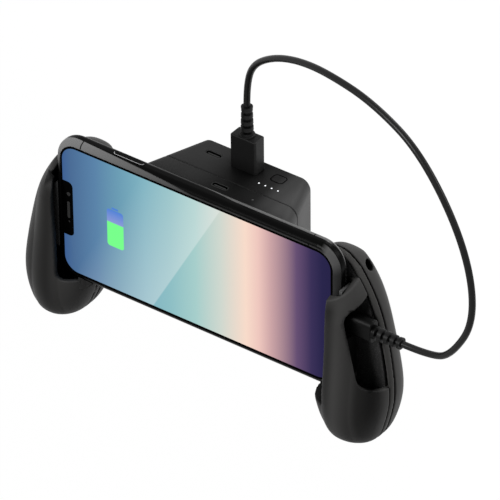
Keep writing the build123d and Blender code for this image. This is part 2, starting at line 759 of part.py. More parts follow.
def make_handle(side, body, hollow):
    """One handle: front shell, mid band, rear shell, liner, pad and screws."""
    name = "right" if side > 0 else "left"
    flip = (lambda s: s) if side > 0 else (lambda s: s.mirror(Plane.YZ))

    front = body & whole_slab(-overrun, band_front - seam_gap / 2)
    band = body & whole_slab(band_front + seam_gap / 2, band_rear - seam_gap / 2)
    rear = body & whole_slab(band_rear + seam_gap / 2, overrun)

    slot_rear = phone_depth + slot_gap
    slot_low = -phone_top - slot_drop
    beside = block(slot_end + end_wall, phone_end + overrun, -overrun, band_front, slot_low, phone_top)
    below = block(0, phone_end + overrun, -overrun, band_front, -overrun - phone_top, -bulb_drop)
    front -= hollow & (beside + below)
    front -= block(0, slot_end, -slot_gap, slot_rear, slot_low, overrun)
    front -= above_mouth()
    if side < 0:
        front -= hollow & block(0, slot_end, -overrun, slot_rear, slot_low, overrun)
        front -= left_opening()
    else:
        front -= block(0, phone_end - lip_reach, -overrun, slot_rear, slot_low, overrun)
        front -= block(slot_end - pad_thickness, slot_end + 2 * end_wall, -slot_gap, slot_rear,
                       -plug_hole_height / 2, plug_hole_height / 2)
        outside = block(slot_end + end_wall, phone_end + overrun, -overrun, band_front, -overrun, overrun)
        front -= window_cutter() & outside
    boss = pin(bulb_screw_x, bulb_screw_z, -grip_front, band_front - seam_gap / 2, grip_boss_radius) & body
    front += boss
    front -= pin(bulb_screw_x, bulb_screw_z, band_front - screw_length, band_front, screw_bore)

    arm_half = arm_height / 2 + thin_gap
    arm_slot = block(0, phone_end, arm_front - thin_gap, arm_rear + thin_gap, -arm_half, arm_half)
    band -= hollow
    band -= arm_slot
    if side > 0:
        groove = window_cutter() & block(slot_end, phone_end + overrun, band_front, band_front + groove_width,
                                         -overrun, overrun)
        inner = grip_hollow(grip_wall - groove_depth)
        band -= groove & inner

    rear -= hollow
    rear -= arm_slot
    places = [(grip_screw_x, grip_screw_z), (grip_screw_x, -grip_screw_z), (bulb_screw_x, bulb_screw_z)]
    screws = []
    for x, z in places:
        deep = arm_rear + thin_gap if z > -arm_height / 2 else band_front + seam_gap / 2
        rear += pin(x, z, max(deep, band_rear + seam_gap / 2), overrun, grip_boss_radius) & body
    head_y = {}
    for x, z in places:
        reach = body & pin(x, z, band_rear, overrun, thin_gap)
        head_y[(x, z)] = reach.bounding_box().max.Y - screw_head_depth - 2 * thin_gap
        rear -= pin(x, z, band_front, overrun, screw_bore)
        rear -= pin(x, z, head_y[(x, z)] - screw_head_depth, overrun, screw_head_radius + thin_gap)
    for x, z in places:
        stop = arm_front + thin_gap if z > -arm_height / 2 else band_front - screw_length + thin_gap
        screws.append(screw(x, z, head_y[(x, z)], head_y[(x, z)] - stop, -1))
    cup = Pos(recess_x, recess_y, recess_z) * Rot(0, 0, recess_turn) * Rot(0, recess_tip, 0)
    rear += (cup * Cylinder(recess_radius + recess_wall, 2 * (recess_depth + recess_wall))) & body & block(
        0, overrun + phone_end, band_rear + seam_gap / 2, overrun, -overrun, overrun)
    rear -= cup * Cylinder(recess_radius, 2 * recess_depth)

    liner = grip_hollow(liner_inset) & block(0, overrun + phone_end, band_front + thin_gap, band_front + thin_gap
                                             + liner_depth, -overrun - phone_top, overrun)
    liner -= pin(bulb_screw_x, bulb_screw_z, band_front, band_rear, screw_bore)

    pad_front = pad_inset
    pad_rear = phone_depth - pad_inset
    pad_low, pad_high = (-pad_height / 2, pad_height / 2) if side > 0 else (left_pad_low, left_pad_high)
    pad = block(phone_end + slot_gap, slot_end, pad_front, pad_rear, pad_low, pad_high)
    if side > 0:
        pad -= block(phone_end, slot_end, 0, phone_depth, -plug_hole_height / 2, plug_hole_height / 2)

    keep(name + "_front_shell", flip(front))
    keep(name + "_mid_band", flip(band))
    keep(name + "_rear_shell", flip(rear))
    keep(name + "_liner", flip(liner))
    keep(name + "_clamp_pad", flip(pad))
    keep(name + "_grip_screws", flip(Compound(screws)))


# Cable

cable_nodes = ("cord", "usb_plug_tip", "usb_plug_body", "usb_plug_relief",
               "phone_plug_tip", "phone_plug_body", "phone_plug_relief")
usb_body_low = half_height(plug_y - usb_body_depth / 2) + thin_gap
relief_low = usb_body_low + usb_body_height
cord_start = relief_low + relief_length
phone_relief_start = phone_end + slot_gap + phone_body_length
cord_end = phone_relief_start + phone_relief_length


def cord_route():
    """The cord's route, from the battery pack's plug over the top to the phone's plug."""
    return [
        (plug_x, plug_y, cord_start), (plug_x, plug_y, 75.0), (5.5, 37.5, 89.0), (19.5, 33.5, 100.5),
        (37.0, 28.5, 108.5), (57.5, 22.0, 113.5), (86.0, 16.0, 112.5), (116.0, 10.0, 101.0),
        (143.0, 4.5, 66.5), (151.0, 1.5, 32.0), (138.0, 1.5, 7.0), (125.0, port_y, 0.0),
        (cord_end, port_y, 0.0),
    ]


def route_radii(points):
    """The largest arc that each corner's two runs allow."""
    radii = []
    for a, b, c in zip(points, points[1:], points[2:]):
        before = Vector(*b) - Vector(*a)
        after = Vector(*c) - Vector(*b)
        turn = math.radians(before.get_angle(after))
        radii.append(0.45 * min(before.length, after.length) / math.tan(turn / 2))
    return radii


def relief(length, radius, end_radius, collar_radius):
    """A tapered strain relief standing on the ground, its collar below."""
    body = Cone(radius, end_radius, length, align=(Align.CENTER, Align.CENTER, Align.MIN))
    pitch = (length - 2 * relief_collar_length) / relief_rings
    slot = pitch * relief_slot_share
    for i in range(relief_rings):
        for side in (-1, 1):
            low = 2 * relief_collar_length + pitch * (i + (side + 1) / 4)
            bite = radius * (1 - relief_slot_depth_share)
            cut = block(bite, overrun, -overrun, overrun, low, low + slot / 2)
            body -= cut if side > 0 else cut.mirror(Plane.YZ)
    collar = Cylinder(collar_radius, relief_collar_length, align=(Align.CENTER, Align.CENTER, Align.MIN))
    return body + collar


def make_cable():
    """The cable's two plugs with their strain reliefs, and the cord between them."""
    body = column(RectangleRounded(usb_body_width, usb_body_depth, usb_body_corner), plug_x, plug_y,
                  usb_body_low, relief_low)
    body = fillet(body.faces().sort_by(Axis.Z)[-1].edges(), usb_body_round)
    keep("usb_plug_body", body)
    tip = column(Rectangle(usb_tip_width, usb_tip_depth), plug_x, plug_y, usb_body_low - usb_tip_length, usb_body_low)
    bore = Rectangle(usb_tip_width - 2 * usb_tip_wall, usb_tip_depth / 2 - usb_tip_wall)
    tip -= column(bore, plug_x, plug_y + usb_tip_depth / 4 - usb_tip_wall / 2,
                  usb_body_low - usb_tip_length, usb_body_low - usb_tip_wall)
    keep("usb_plug_tip", tip)
    keep("usb_plug_relief", Pos(plug_x, plug_y, relief_low)
         * relief(relief_length, relief_radius, relief_end_radius, relief_collar_radius - thin_gap))

    lie = Pos(phone_end + slot_gap, port_y, 0) * Rot(0, 90, 0)
    outline = RectangleRounded(phone_body_width, phone_body_depth, phone_body_corner)
    body = extrude(outline, phone_body_length)
    body = fillet(body.faces().sort_by(Axis.Z)[-1].edges(), phone_body_round)
    keep("phone_plug_body", lie * body)
    tip_shape = RectangleRounded(port_width, port_depth, port_depth / 2 - glue_gap)
    tip = extrude(tip_shape, -phone_tip_length - slot_gap)
    keep("phone_plug_tip", lie * tip)
    keep("phone_plug_relief", Pos(phone_relief_start, port_y, 0) * Rot(0, 90, 0)
         * relief(phone_relief_length, phone_relief_radius, phone_relief_end_radius,
                  phone_body_depth / 2 - thin_gap))

    points = cord_route()
    radii = route_radii(points)
    path = FilletPolyline(*points, radius=radii)
    section = Plane(origin=points[0], z_dir=(0, 0, 1)) * Circle(cord_radius)
    cord = sweep(section, path=path)
    keep("cord", cord)
    print("cord radii", [round(r, 1) for r in radii])
    print("cord length", round(path.length, 1), "volume", round(cord.volume, 1),
          "section times length", round(math.pi * cord_radius ** 2 * path.length, 1))


make_phone()
make_module()
make_slide_drive()
make_battery()
handle_body = grooved_body()
handle_hollow = grip_hollow(grip_wall)
for hand in (-1, 1):
    make_handle(hand, handle_body, handle_hollow)
make_cable()

stand = rest_on_handles()
print("moved by", stand.position)
for node, solid in made.items():
    export_step(stand * solid, "parts/" + node + ".step")
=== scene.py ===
import json
import math

import bmesh
import bpy
import numpy as np
from bpy.props import FloatProperty, FloatVectorProperty, IntProperty, PointerProperty
from mathutils import Matrix, Vector


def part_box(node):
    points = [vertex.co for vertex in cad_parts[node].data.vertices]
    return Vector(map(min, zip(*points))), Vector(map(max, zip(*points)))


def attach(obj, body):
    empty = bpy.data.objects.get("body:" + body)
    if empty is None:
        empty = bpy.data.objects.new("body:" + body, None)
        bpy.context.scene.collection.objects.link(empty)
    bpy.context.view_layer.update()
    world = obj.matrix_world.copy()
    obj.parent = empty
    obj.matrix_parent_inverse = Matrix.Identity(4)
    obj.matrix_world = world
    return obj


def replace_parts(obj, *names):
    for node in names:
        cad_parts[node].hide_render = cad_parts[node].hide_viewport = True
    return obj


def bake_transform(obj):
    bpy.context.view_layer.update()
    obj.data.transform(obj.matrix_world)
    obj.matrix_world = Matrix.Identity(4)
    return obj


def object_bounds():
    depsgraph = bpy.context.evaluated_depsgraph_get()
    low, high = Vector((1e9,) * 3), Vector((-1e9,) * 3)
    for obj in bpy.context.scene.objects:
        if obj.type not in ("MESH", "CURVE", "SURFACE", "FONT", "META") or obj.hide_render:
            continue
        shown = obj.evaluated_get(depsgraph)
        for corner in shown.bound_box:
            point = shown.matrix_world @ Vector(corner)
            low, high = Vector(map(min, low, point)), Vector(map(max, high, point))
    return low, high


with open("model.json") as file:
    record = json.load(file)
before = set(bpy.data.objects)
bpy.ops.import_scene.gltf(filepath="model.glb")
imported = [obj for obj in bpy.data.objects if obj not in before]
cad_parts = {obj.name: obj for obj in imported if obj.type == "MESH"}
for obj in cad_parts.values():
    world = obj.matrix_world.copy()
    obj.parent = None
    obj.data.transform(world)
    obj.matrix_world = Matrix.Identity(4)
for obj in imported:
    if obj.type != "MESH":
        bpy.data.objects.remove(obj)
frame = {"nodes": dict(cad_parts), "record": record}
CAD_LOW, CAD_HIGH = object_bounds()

bl_info = {
    "name": "Phone Grip Controller",
    "version": (1, 0, 0),
    "blender": (4, 5, 0),
    "location": "3D View > Sidebar > Phone Grip",
    "description": "Finishes a telescoping phone grip with its battery pack, held phone and charging cable",
    "category": "Object",
}

# Places are in millimetres from the middle of the phone's front glass: X along the phone,
# Y from the glass to the back, Z upwards. The frame's own place for that point is ORIGIN.
MM = 0.001
NODES = frame["nodes"]
NODE_SLOTS = {part["node"]: part["material_slot"] for part in frame["record"]["subparts"]}
BODY_OF = {name: body for body, names in frame["record"]["behaviour"]["bodies"].items()
           for name in names}
PHONE_LOW, PHONE_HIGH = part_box("phone_frame")
ORIGIN = Vector(((PHONE_LOW.x + PHONE_HIGH.x) / 2, PHONE_LOW.y, (PHONE_LOW.z + PHONE_HIGH.z) / 2))


def place(x, y, z):
    """A point in millimetres from the front glass's middle, in the frame's metres."""
    return ORIGIN + Vector((x, y, z)) * MM


def local_box(name):
    """A CAD node's lowest and highest corner, in millimetres from the front glass's middle."""
    low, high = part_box(name)
    return (low - ORIGIN) / MM, (high - ORIGIN) / MM


# Shader nodes

BLACK, WHITE = (0.0, 0.0, 0.0), (1.0, 1.0, 1.0)


def grey(level):
    """A neutral colour."""
    return level, level, level


def link(tree, source, target):
    """Joins two sockets."""
    tree.links.new(source, target)


def wire(tree, *runs):
    """Joins sockets, each run given as node, output, node and input."""
    for source, output, target, entry in runs:
        link(tree, source.outputs[output], target.inputs[entry])


def node(tree, kind, **values):
    """A shader node with the given properties and input defaults."""
    made = tree.nodes.new(kind)
    for key, value in values.items():
        if key in made.bl_rna.properties:
            setattr(made, key, value)
        else:
            made.inputs[key.replace("_", " ")].default_value = value
    return made


def maths(tree, operation, first, second=0.0):
    """The output of a math node whose two inputs are sockets or numbers."""
    made = node(tree, "ShaderNodeMath", operation=operation)
    for index, value in enumerate((first, second)):
        if isinstance(value, float):
            made.inputs[index].default_value = value
        else:
            link(tree, value, made.inputs[index])
    return made.outputs["Value"]


def plus(tree, first, second):
    """The sum of two sockets or numbers."""
    return maths(tree, "ADD", first, second)


def minus(tree, first, second):
    """The difference of two sockets or numbers."""
    return maths(tree, "SUBTRACT", first, second)


def times(tree, first, *others):
    """The product of sockets or numbers."""
    for other in others:
        first = maths(tree, "MULTIPLY", first, other)
    return first


def larger(tree, first, second):
    """The larger of two sockets or numbers."""
    return maths(tree, "MAXIMUM", first, second)


def left_over(tree, share):
    """What a share leaves of 1."""
    return minus(tree, 1.0, share)


def off(tree, value, middle):
    """How far a value lies from a middle, to either side."""
    return maths(tree, "ABSOLUTE", minus(tree, value, middle))


def reach(tree, across, up):
    """The length of a line that goes so far across and so far up."""
    return maths(tree, "SQRT", plus(tree, times(tree, across, across), times(tree, up, up)))


def ranged(tree, source, low, high, to_low=0.0, to_high=1.0):
    """A socket's value carried from one range to another, held at its ends."""
    made = node(tree, "ShaderNodeMapRange", From_Min=low, From_Max=high, To_Min=to_low, To_Max=to_high)
    link(tree, source, made.inputs["Value"])
    return made.outputs["Result"]


def inside(tree, value, low, high, soft):
    """1 where a value lies between two others, with soft ends."""
    return times(tree, ranged(tree, value, low - soft, low + soft),
                 ranged(tree, value, high + soft, high - soft))


def local_millimetres(tree):
    """X, Y and Z sockets, in millimetres from the front glass's middle."""
    where = node(tree, "ShaderNodeTexCoord")
    moved = node(tree, "ShaderNodeVectorMath", operation="SUBTRACT")
    scaled = node(tree, "ShaderNodeVectorMath", operation="SCALE")
    split = node(tree, "ShaderNodeSeparateXYZ")
    moved.inputs[1].default_value = ORIGIN
    scaled.inputs["Scale"].default_value = 1 / MM
    wire(tree, (where, "Object", moved, 0), (moved, "Vector", scaled, 0),
         (scaled, "Vector", split, "Vector"))
    return split.outputs["X"], split.outputs["Y"], split.outputs["Z"]


def facing_axes(tree):
    """The surface's own direction, as X, Y and Z sockets."""
    shape = node(tree, "ShaderNodeNewGeometry")
    facing = node(tree, "ShaderNodeSeparateXYZ")
    wire(tree, (shape, "Normal", facing, "Vector"))
    return facing.outputs["X"], facing.outputs["Y"], facing.outputs["Z"]


def mixed_colour(tree, first, second, factor):
    """The output between two colours, each a socket or three numbers."""
    mix = node(tree, "ShaderNodeMix", data_type="RGBA")
    link(tree, factor, mix.inputs["Factor"])
    for name, value in (("A", first), ("B", second)):
        if isinstance(value, tuple):
            mix.inputs[name].default_value = (*value, 1.0)
        else:
            link(tree, value, mix.inputs[name])
    return mix.outputs["Result"]


def colour_along(tree, value, stops, interpolation="LINEAR"):
    """The colour that runs along a value through (value, colour) stops."""
    first, last = stops[0][0], stops[-1][0]
    ramp = node(tree, "ShaderNodeValToRGB")
    ramp.color_ramp.interpolation = interpolation
    for at, colour in stops[1:-1]:
        ramp.color_ramp.elements.new((at - first) / (last - first))
    for element, (at, colour) in zip(ramp.color_ramp.elements, stops):
        element.position = (at - first) / (last - first)
        element.color = (*colour, 1.0)
    link(tree, ranged(tree, value, first, last), ramp.inputs["Fac"])
    return ramp.outputs["Color"]


def share_along(tree, value, stops):
    """A share that runs smoothly along a value through (value, share) stops."""
    return colour_along(tree, value, [(at, grey(share)) for at, share in stops], "EASE")


# Shader node groups

def new_group(name, inputs, outputs):
    """A shader group with named number sockets, as (group, input node, output node)."""
    group = bpy.data.node_groups.new(name, "ShaderNodeTree")
    for title, value in inputs.items():
        socket = group.interface.new_socket(title, in_out="INPUT", socket_type="NodeSocketFloat")
        socket.default_value = value
    for title in outputs:
        group.interface.new_socket(title, in_out="OUTPUT", socket_type="NodeSocketFloat")
    return group, group.nodes.new("NodeGroupInput"), group.nodes.new("NodeGroupOutput")


def on_object(group, kind, **values):
    """A texture or mapping node that starts from the object's own coordinates."""
    made = node(group, kind, **values)
    wire(group, (node(group, "ShaderNodeTexCoord"), "Object", made, "Vector"))
    return made


def fine_grain_group():
    """Height of a moulded surface's fine grain."""
    group, given, result = new_group("Fine Grain", {"Scale": 1500.0, "Pits": 0.5}, ["Height"])
    noise = on_object(group, "ShaderNodeTexNoise", Detail=4.0, Roughness=0.62)
    pits = on_object(group, "ShaderNodeTexVoronoi")
    mixed = node(group, "ShaderNodeMix", data_type="FLOAT")
    wire(group, (given, "Scale", noise, "Scale"), (given, "Scale", pits, "Scale"),
         (given, "Pits", mixed, "Factor"), (noise, "Fac", mixed, "A"), (pits, "Distance", mixed, "B"),
         (mixed, "Result", result, "Height"))
    return group


def handling_group():
    """Roughness that varies as a handled surface's does, between two values, and its mask."""
    group, given, result = new_group(
        "Handling", {"Smooth": 0.4, "Rough": 0.6, "Scale": 30.0}, ["Roughness", "Mask"])
    noise = on_object(group, "ShaderNodeTexNoise", Detail=5.0, Roughness=0.55, Distortion=0.4)
    spread = node(group, "ShaderNodeMapRange", From_Min=0.3, From_Max=0.7)
    mixed = node(group, "ShaderNodeMix", data_type="FLOAT")
    wire(group, (given, "Scale", noise, "Scale"), (noise, "Fac", spread, "Value"),
         (spread, "Result", mixed, "Factor"),
         (given, "Smooth", mixed, "A"), (given, "Rough", mixed, "B"),
         (mixed, "Result", result, "Roughness"), (spread, "Result", result, "Mask"))
    return group


# Pointiness over which convex edges take their painted highlight.
EDGE_HIGHLIGHT_POINTINESS = (0.51, 0.6)


def edge_highlight_group():
    """Mask of the convex edges that take a painted highlight."""
    group, given, result = new_group("Edge Rub", {"Amount": 0.5}, ["Mask"])
    shape = node(group, "ShaderNodeNewGeometry")
    breakup = on_object(group, "ShaderNodeTexNoise", Scale=260.0, Detail=3.0)
    edge = ranged(group, shape.outputs["Pointiness"], *EDGE_HIGHLIGHT_POINTINESS)
    mask = times(group, edge, breakup.outputs["Fac"], given.outputs["Amount"])
    link(group, mask, result.inputs["Mask"])
    return group


def speckle_group():
    """Mask of small light specks, as in a spark-textured moulding."""
    group, given, result = new_group("Speckle", {"Scale": 1400.0, "Size": 0.3}, ["Mask"])
    cells = on_object(group, "ShaderNodeTexVoronoi")
    near = node(group, "ShaderNodeMath", operation="LESS_THAN")
    wire(group, (given, "Scale", cells, "Scale"), (cells, "Distance", near, 0),
         (given, "Size", near, 1), (near, "Value", result, "Mask"))
    return group


def brushed_group():
    """Height and mask of fine lines along one direction of a worked metal."""
    group, given, result = new_group("Brushed Lines", {"Scale": 900.0}, ["Height", "Mask"])
    stretch = on_object(group, "ShaderNodeMapping", Scale=(0.04, 1.0, 1.0))
    noise = node(group, "ShaderNodeTexNoise", Detail=3.0)
    wire(group, (stretch, "Vector", noise, "Vector"), (given, "Scale", noise, "Scale"),
         (noise, "Fac", result, "Height"), (noise, "Fac", result, "Mask"))
    return group


GROUPS = {}


def group_node(tree, make, **values):
    """A placed copy of a shared group, with its own values."""
    if make.__name__ not in GROUPS:
        GROUPS[make.__name__] = make()
    placed = tree.nodes.new("ShaderNodeGroup")
    placed.node_tree = GROUPS[make.__name__]
    for key, value in values.items():
        placed.inputs[key].default_value = value
    return placed


# Materials

def new_material(name, **sockets):
    """A material with one Principled shader, as (material, tree, shader)."""
    material = bpy.data.materials.new(name)
    material.use_nodes = True
    tree = material.node_tree
    shader = tree.nodes["Principled BSDF"]
    for key, value in sockets.items():
        shader.inputs[key.replace("_", " ")].default_value = value
    return material, tree, shader


def tint(tree, shader, dark, light, mask):
    """Base colour between two colours by a mask."""
    link(tree, mixed_colour(tree, dark, light, mask), shader.inputs["Base Color"])


def bump(tree, shader, height, strength, distance):
    """Normal from a height, with its strength and its depth in metres."""
    made = node(tree, "ShaderNodeBump", Strength=strength, Distance=distance)
    wire(tree, (height, "Height", made, "Height"), (made, "Normal", shader, "Normal"))


def handled_roughness(tree, shader, **values):
    """Gives the shader a handled surface's roughness, and returns its mask."""
    handled = group_node(tree, handling_group, **values)
    wire(tree, (handled, "Roughness", shader, "Roughness"))
    return handled.outputs["Mask"]


# Painted shade: how colour darkens in crevices, and in X, Y and Z the shaded walls inside the
# two handles' openings.
CREVICE_REACH, CREVICE_SAMPLES = 0.012, 8
CREVICE_SHADE_SHARE = (0.25, 0.9, 0.04, 1.0)
SHADED_OPENING_WALLS = (
    ((77.0, 97.0), (-1.2, 9.2), (-30.5, 10.5)),
    ((-83.2, -70.5), (-3.2, 9.5), (-36.0, 17.0)),
)
WALL_SOFTNESS = (0.2, 0.5, 0.3)
WALL_SHADE_STRENGTH = 0.9


def painted_crevice_shade(tree, colour):
    """A colour darkened by painted shade in crevices and on the walls inside the handles' openings."""
    where = local_millimetres(tree)
    open_sky = node(tree, "ShaderNodeAmbientOcclusion", samples=CREVICE_SAMPLES, Distance=CREVICE_REACH)
    walls = 0.0
    for box in SHADED_OPENING_WALLS:
        within = (inside(tree, value, *ends, soft) for value, ends, soft in zip(where, box, WALL_SOFTNESS))
        walls = larger(tree, times(tree, *within), walls)
    share = times(tree, ranged(tree, open_sky.outputs["AO"], *CREVICE_SHADE_SHARE),
                  left_over(tree, times(tree, walls, WALL_SHADE_STRENGTH)))
    return mixed_colour(tree, BLACK, colour, share)


# How strongly the edges' painted highlight shows.
EDGE_HIGHLIGHT_AMOUNT = 0.7
GRAIN_STRENGTH = 0.35


def moulded_plastic(name, colour, edge_highlight, roughness, grain_scale, grain_depth, shine):
    """Moulded plastic: fine grain, handled roughness, painted edge highlight, painted crevice shade."""
    material, tree, shader = new_material(name, Specular_IOR_Level=shine)
    grain = group_node(tree, fine_grain_group, Scale=grain_scale)
    handled_roughness(tree, shader, Smooth=roughness[0], Rough=roughness[1])
    # Painted highlight: convex edges are painted lighter; painted shade in crevices follows.
    edge_highlight_node = group_node(tree, edge_highlight_group, Amount=EDGE_HIGHLIGHT_AMOUNT)
    highlighted = mixed_colour(tree, colour, edge_highlight, edge_highlight_node.outputs["Mask"])
    link(tree, painted_crevice_shade(tree, highlighted), shader.inputs["Base Color"])
    bump(tree, shader, grain, GRAIN_STRENGTH, grain_depth)
    return material


def shared_where(material, mask, share):
    """Keeps only a share of a material's colour where a mask is 1."""
    tree = material.node_tree
    base = tree.nodes["Principled BSDF"].inputs["Base Color"]
    kept = plus(tree, times(tree, mask, minus(tree, share, 1.0)), 1.0)
    link(tree, mixed_colour(tree, BLACK, base.links[0].from_socket, kept), base)
    return material


# Painted light and shade: shares of the plastics' colours along the phone, as (X, share).
TOP_SHADE_SHARES = ((-45.0, 0.3), (-20.0, 0.22), (4.0, 0.05), (17.0, 0.1), (25.0, 0.34), (32.0, 0.5))
TOP_SHADE_FACING = (0.05, 0.7)
FRONT_LIGHT_SHADE_SHARES = (
    (-100.0, 0.5), (-92.0, 0.4), (-86.0, 0.42), (-80.0, 0.3), (-74.0, 0.72), (-66.0, 0.9), (60.0, 0.9),
    (77.0, 0.32), (82.5, 0.95), (88.5, 0.72), (93.0, 0.3), (97.5, 0.16), (100.0, 0.45),
)
FRONT_DEPTH, FRONT_HEIGHT = (7.5, 3.0), (17.0, 9.0)
LEFT_TO_RIGHT = (-1.0, 1.0)
LEFT_BROUGHT_FORWARD = (-40.0, 0.0)
# Painted shade on the left mid band.
BAND_SHADE_SHARES = (0.45, 0.95)
# Painted light on the plugs' right-facing sides, painted shade on the others.
PLUG_LIGHT_SHARES = (0.0, 0.9, 0.25, 1.0)


def top_shaded_plastic(name, *finish):
    """The housings' plastic, with painted shade on its top faces, deepest in their middle."""
    material = moulded_plastic(name, *finish)
    tree = material.node_tree
    upward = ranged(tree, facing_axes(tree)[2], *TOP_SHADE_FACING)
    return shared_where(material, upward, share_along(tree, local_millimetres(tree)[0], TOP_SHADE_SHARES))


def front_lit_shaded_plastic(name, *finish):
    """The handles' plastic, with painted light and shade in bands across the front: the right front shell
    and the whole left handle.
    """
    material = moulded_plastic(name, *finish)
    tree = material.node_tree
    x, y, z = local_millimetres(tree)
    depth = plus(tree, y, ranged(tree, x, *LEFT_TO_RIGHT, *LEFT_BROUGHT_FORWARD))
    front = times(tree, ranged(tree, depth, *FRONT_DEPTH), ranged(tree, z, *FRONT_HEIGHT))
    return shared_where(material, front, share_along(tree, x, FRONT_LIGHT_SHADE_SHARES))


def left_shaded_band_plastic(name, *finish):
    """The mid bands' plastic, with painted shade that darkens it on the left handle."""
    material = moulded_plastic(name, *finish)
    x = local_millimetres(material.node_tree)[0]
    return shared_where(material, 1.0, ranged(material.node_tree, x, *LEFT_TO_RIGHT, *BAND_SHADE_SHARES))


def side_lit_plug_plastic(name, *finish):
    """The plugs' plastic, with painted light on the sides that look right along the phone, and painted
    shade on the rest.
    """
    material = moulded_plastic(name, *finish)
    tree = material.node_tree
    return shared_where(material, 1.0, ranged(tree, facing_axes(tree)[0], *PLUG_LIGHT_SHARES))


# Strength and depth in metres of the speckled plastic's grain and of the metals' lines.
SPECKLED_GRAIN, WORKED_LINES = (0.6, 0.0001), (0.2, 0.00001)


def speckled_plastic(name, colour, speck):
    """A spark-textured plastic with small light specks."""
    material, tree, shader = new_material(name, Specular_IOR_Level=0.3)
    specks = group_node(tree, speckle_group)
    grain = group_node(tree, fine_grain_group, Scale=1400.0)
    handled_roughness(tree, shader, Smooth=0.55, Rough=0.75)
    tint(tree, shader, colour, speck, specks.outputs["Mask"])
    bump(tree, shader, grain, *SPECKLED_GRAIN)
    return material


def worked_metal(name, colour, bright, roughness):
    """A metal with fine worked lines."""
    material, tree, shader = new_material(name, Metallic=1.0)
    lines = group_node(tree, brushed_group)
    handled_roughness(tree, shader, Smooth=roughness[0], Rough=roughness[1], Scale=60.0)
    tint(tree, shader, colour, bright, lines.outputs["Mask"])
    bump(tree, shader, lines, *WORKED_LINES)
    return material


# Painted shade in the sockets: behind the phone, above its middle and left of the pack's plug lie
# only the two charging sockets.
SLEEVE_X, SLEEVE_Y, SLEEVE_Z = (6.0, 5.0), (9.0, 9.5), (8.0, 9.0)


def socket_shaded_steel(name, colour, bright, roughness, dark):
    """Steel darkened by painted shade where it lines a charging socket."""
    material = worked_metal(name, colour, bright, roughness)
    tree = material.node_tree
    base = tree.nodes["Principled BSDF"].inputs["Base Color"]
    socket_shade = times(tree, *(ranged(tree, value, *ends) for value, ends in
                           zip(local_millimetres(tree), (SLEEVE_X, SLEEVE_Y, SLEEVE_Z))))
    link(tree, mixed_colour(tree, base.links[0].from_socket, dark, socket_shade), base)
    return material


def gloss_black(name, colour, smudge):
    """Black glass with faint smudges."""
    material, tree, shader = new_material(name, Specular_IOR_Level=0.004)
    smudged = handled_roughness(tree, shader, Smooth=0.08, Rough=0.2, Scale=45.0)
    tint(tree, shader, colour, smudge, smudged)
    return material


def screen_colour(red, green, blue):
    """A screen colour of 0 to 255 as linear light."""
    return tuple(((v / 255 + 0.055) / 1.055) ** 2.4 for v in (red, green, blue))


DISPLAY_STOPS = (
    (-74.6, (62, 96, 147)), (-70.0, (74, 108, 150)), (-56.0, (90, 131, 169)), (-42.0, (108, 158, 181)),
    (-28.0, (128, 180, 194)), (-14.0, (142, 191, 197)), (0.0, (166, 206, 203)), (14.0, (207, 216, 207)),
    (28.0, (248, 219, 202)), (35.0, (238, 199, 190)), (42.0, (203, 164, 166)), (56.0, (102, 79, 115)),
    (64.0, (58, 48, 88)), (70.0, (40, 36, 75)), (74.6, (38, 34, 72)),
)
# A painted reflection on the display: a paler band beside a slanting line, fading away from it.
GLARE_TOP, GLARE_FOOT = (14.3, 34.45), (-24.3, -34.45)
GLARE_EDGE, GLARE_FADE, GLARE_LIGHT = 0.3, 45.0, 0.23
CHARGE_MIDDLE, CHARGE_HALF, CHARGE_CORNER = (-45.05, -0.6), (4.65, 10.2), 1.5
CHARGE_FULL_SHARE, CHARGE_LINE_SOFTNESS = 0.3, 0.2
CHARGE_FULL, CHARGE_EMPTY_FOOT, CHARGE_EMPTY_TOP = (120, 255, 140), (140, 155, 215), (80, 130, 215)
CAP_ABOVE, CAP_HALF, CAP_CORNER = 0.9, (1.86, 0.5), 0.3
MARK_SOFTNESS = 0.15


def rounded_mask(tree, x, z, middle, half, corner):
    """1 inside a rounded rectangle on the display."""
    past = [larger(tree, minus(tree, off(tree, value, at), size - corner), 0.0)
            for value, at, size in zip((x, z), middle, half)]
    return ranged(tree, reach(tree, *past), corner + MARK_SOFTNESS, corner - MARK_SOFTNESS)


def lit_display(name):
    """The lit display: colours along the phone, a painted reflection as a paler slanting band, and a charge
    symbol.
    """
    material, tree, shader = new_material(
        name, Base_Color=(0.0, 0.0, 0.0, 1.0), Roughness=0.08, Specular_IOR_Level=0.01,
        Emission_Strength=1.0)
    x, y, z = local_millimetres(tree)
    field = colour_along(tree, x, [(at, screen_colour(*colour)) for at, colour in DISPLAY_STOPS])

    lean = (GLARE_TOP[0] - GLARE_FOOT[0]) / (GLARE_TOP[1] - GLARE_FOOT[1])
    line = plus(tree, times(tree, z, lean), GLARE_TOP[0] - lean * GLARE_TOP[1])
    behind = minus(tree, line, x)
    glare = times(tree, ranged(tree, behind, -GLARE_EDGE, GLARE_EDGE, 0.0, GLARE_LIGHT),
                  ranged(tree, behind, 0.0, GLARE_FADE, 1.0, 0.0))
    shown = mixed_colour(tree, field, WHITE, glare)

    top = CHARGE_MIDDLE[1] + CHARGE_HALF[1]
    split = CHARGE_MIDDLE[1] + CHARGE_FULL_SHARE * CHARGE_HALF[1]
    empty = mixed_colour(tree, screen_colour(*CHARGE_EMPTY_FOOT), screen_colour(*CHARGE_EMPTY_TOP),
                         ranged(tree, z, split, top))
    level = mixed_colour(tree, screen_colour(*CHARGE_FULL), empty,
                         ranged(tree, z, split - CHARGE_LINE_SOFTNESS, split + CHARGE_LINE_SOFTNESS))
    cell = rounded_mask(tree, x, z, CHARGE_MIDDLE, CHARGE_HALF, CHARGE_CORNER)
    cap = rounded_mask(tree, x, z, (CHARGE_MIDDLE[0], top + CAP_ABOVE), CAP_HALF, CAP_CORNER)
    shown = mixed_colour(tree, shown, level, larger(tree, cell, cap))
    link(tree, shown, shader.inputs["Emission Color"])
    return material
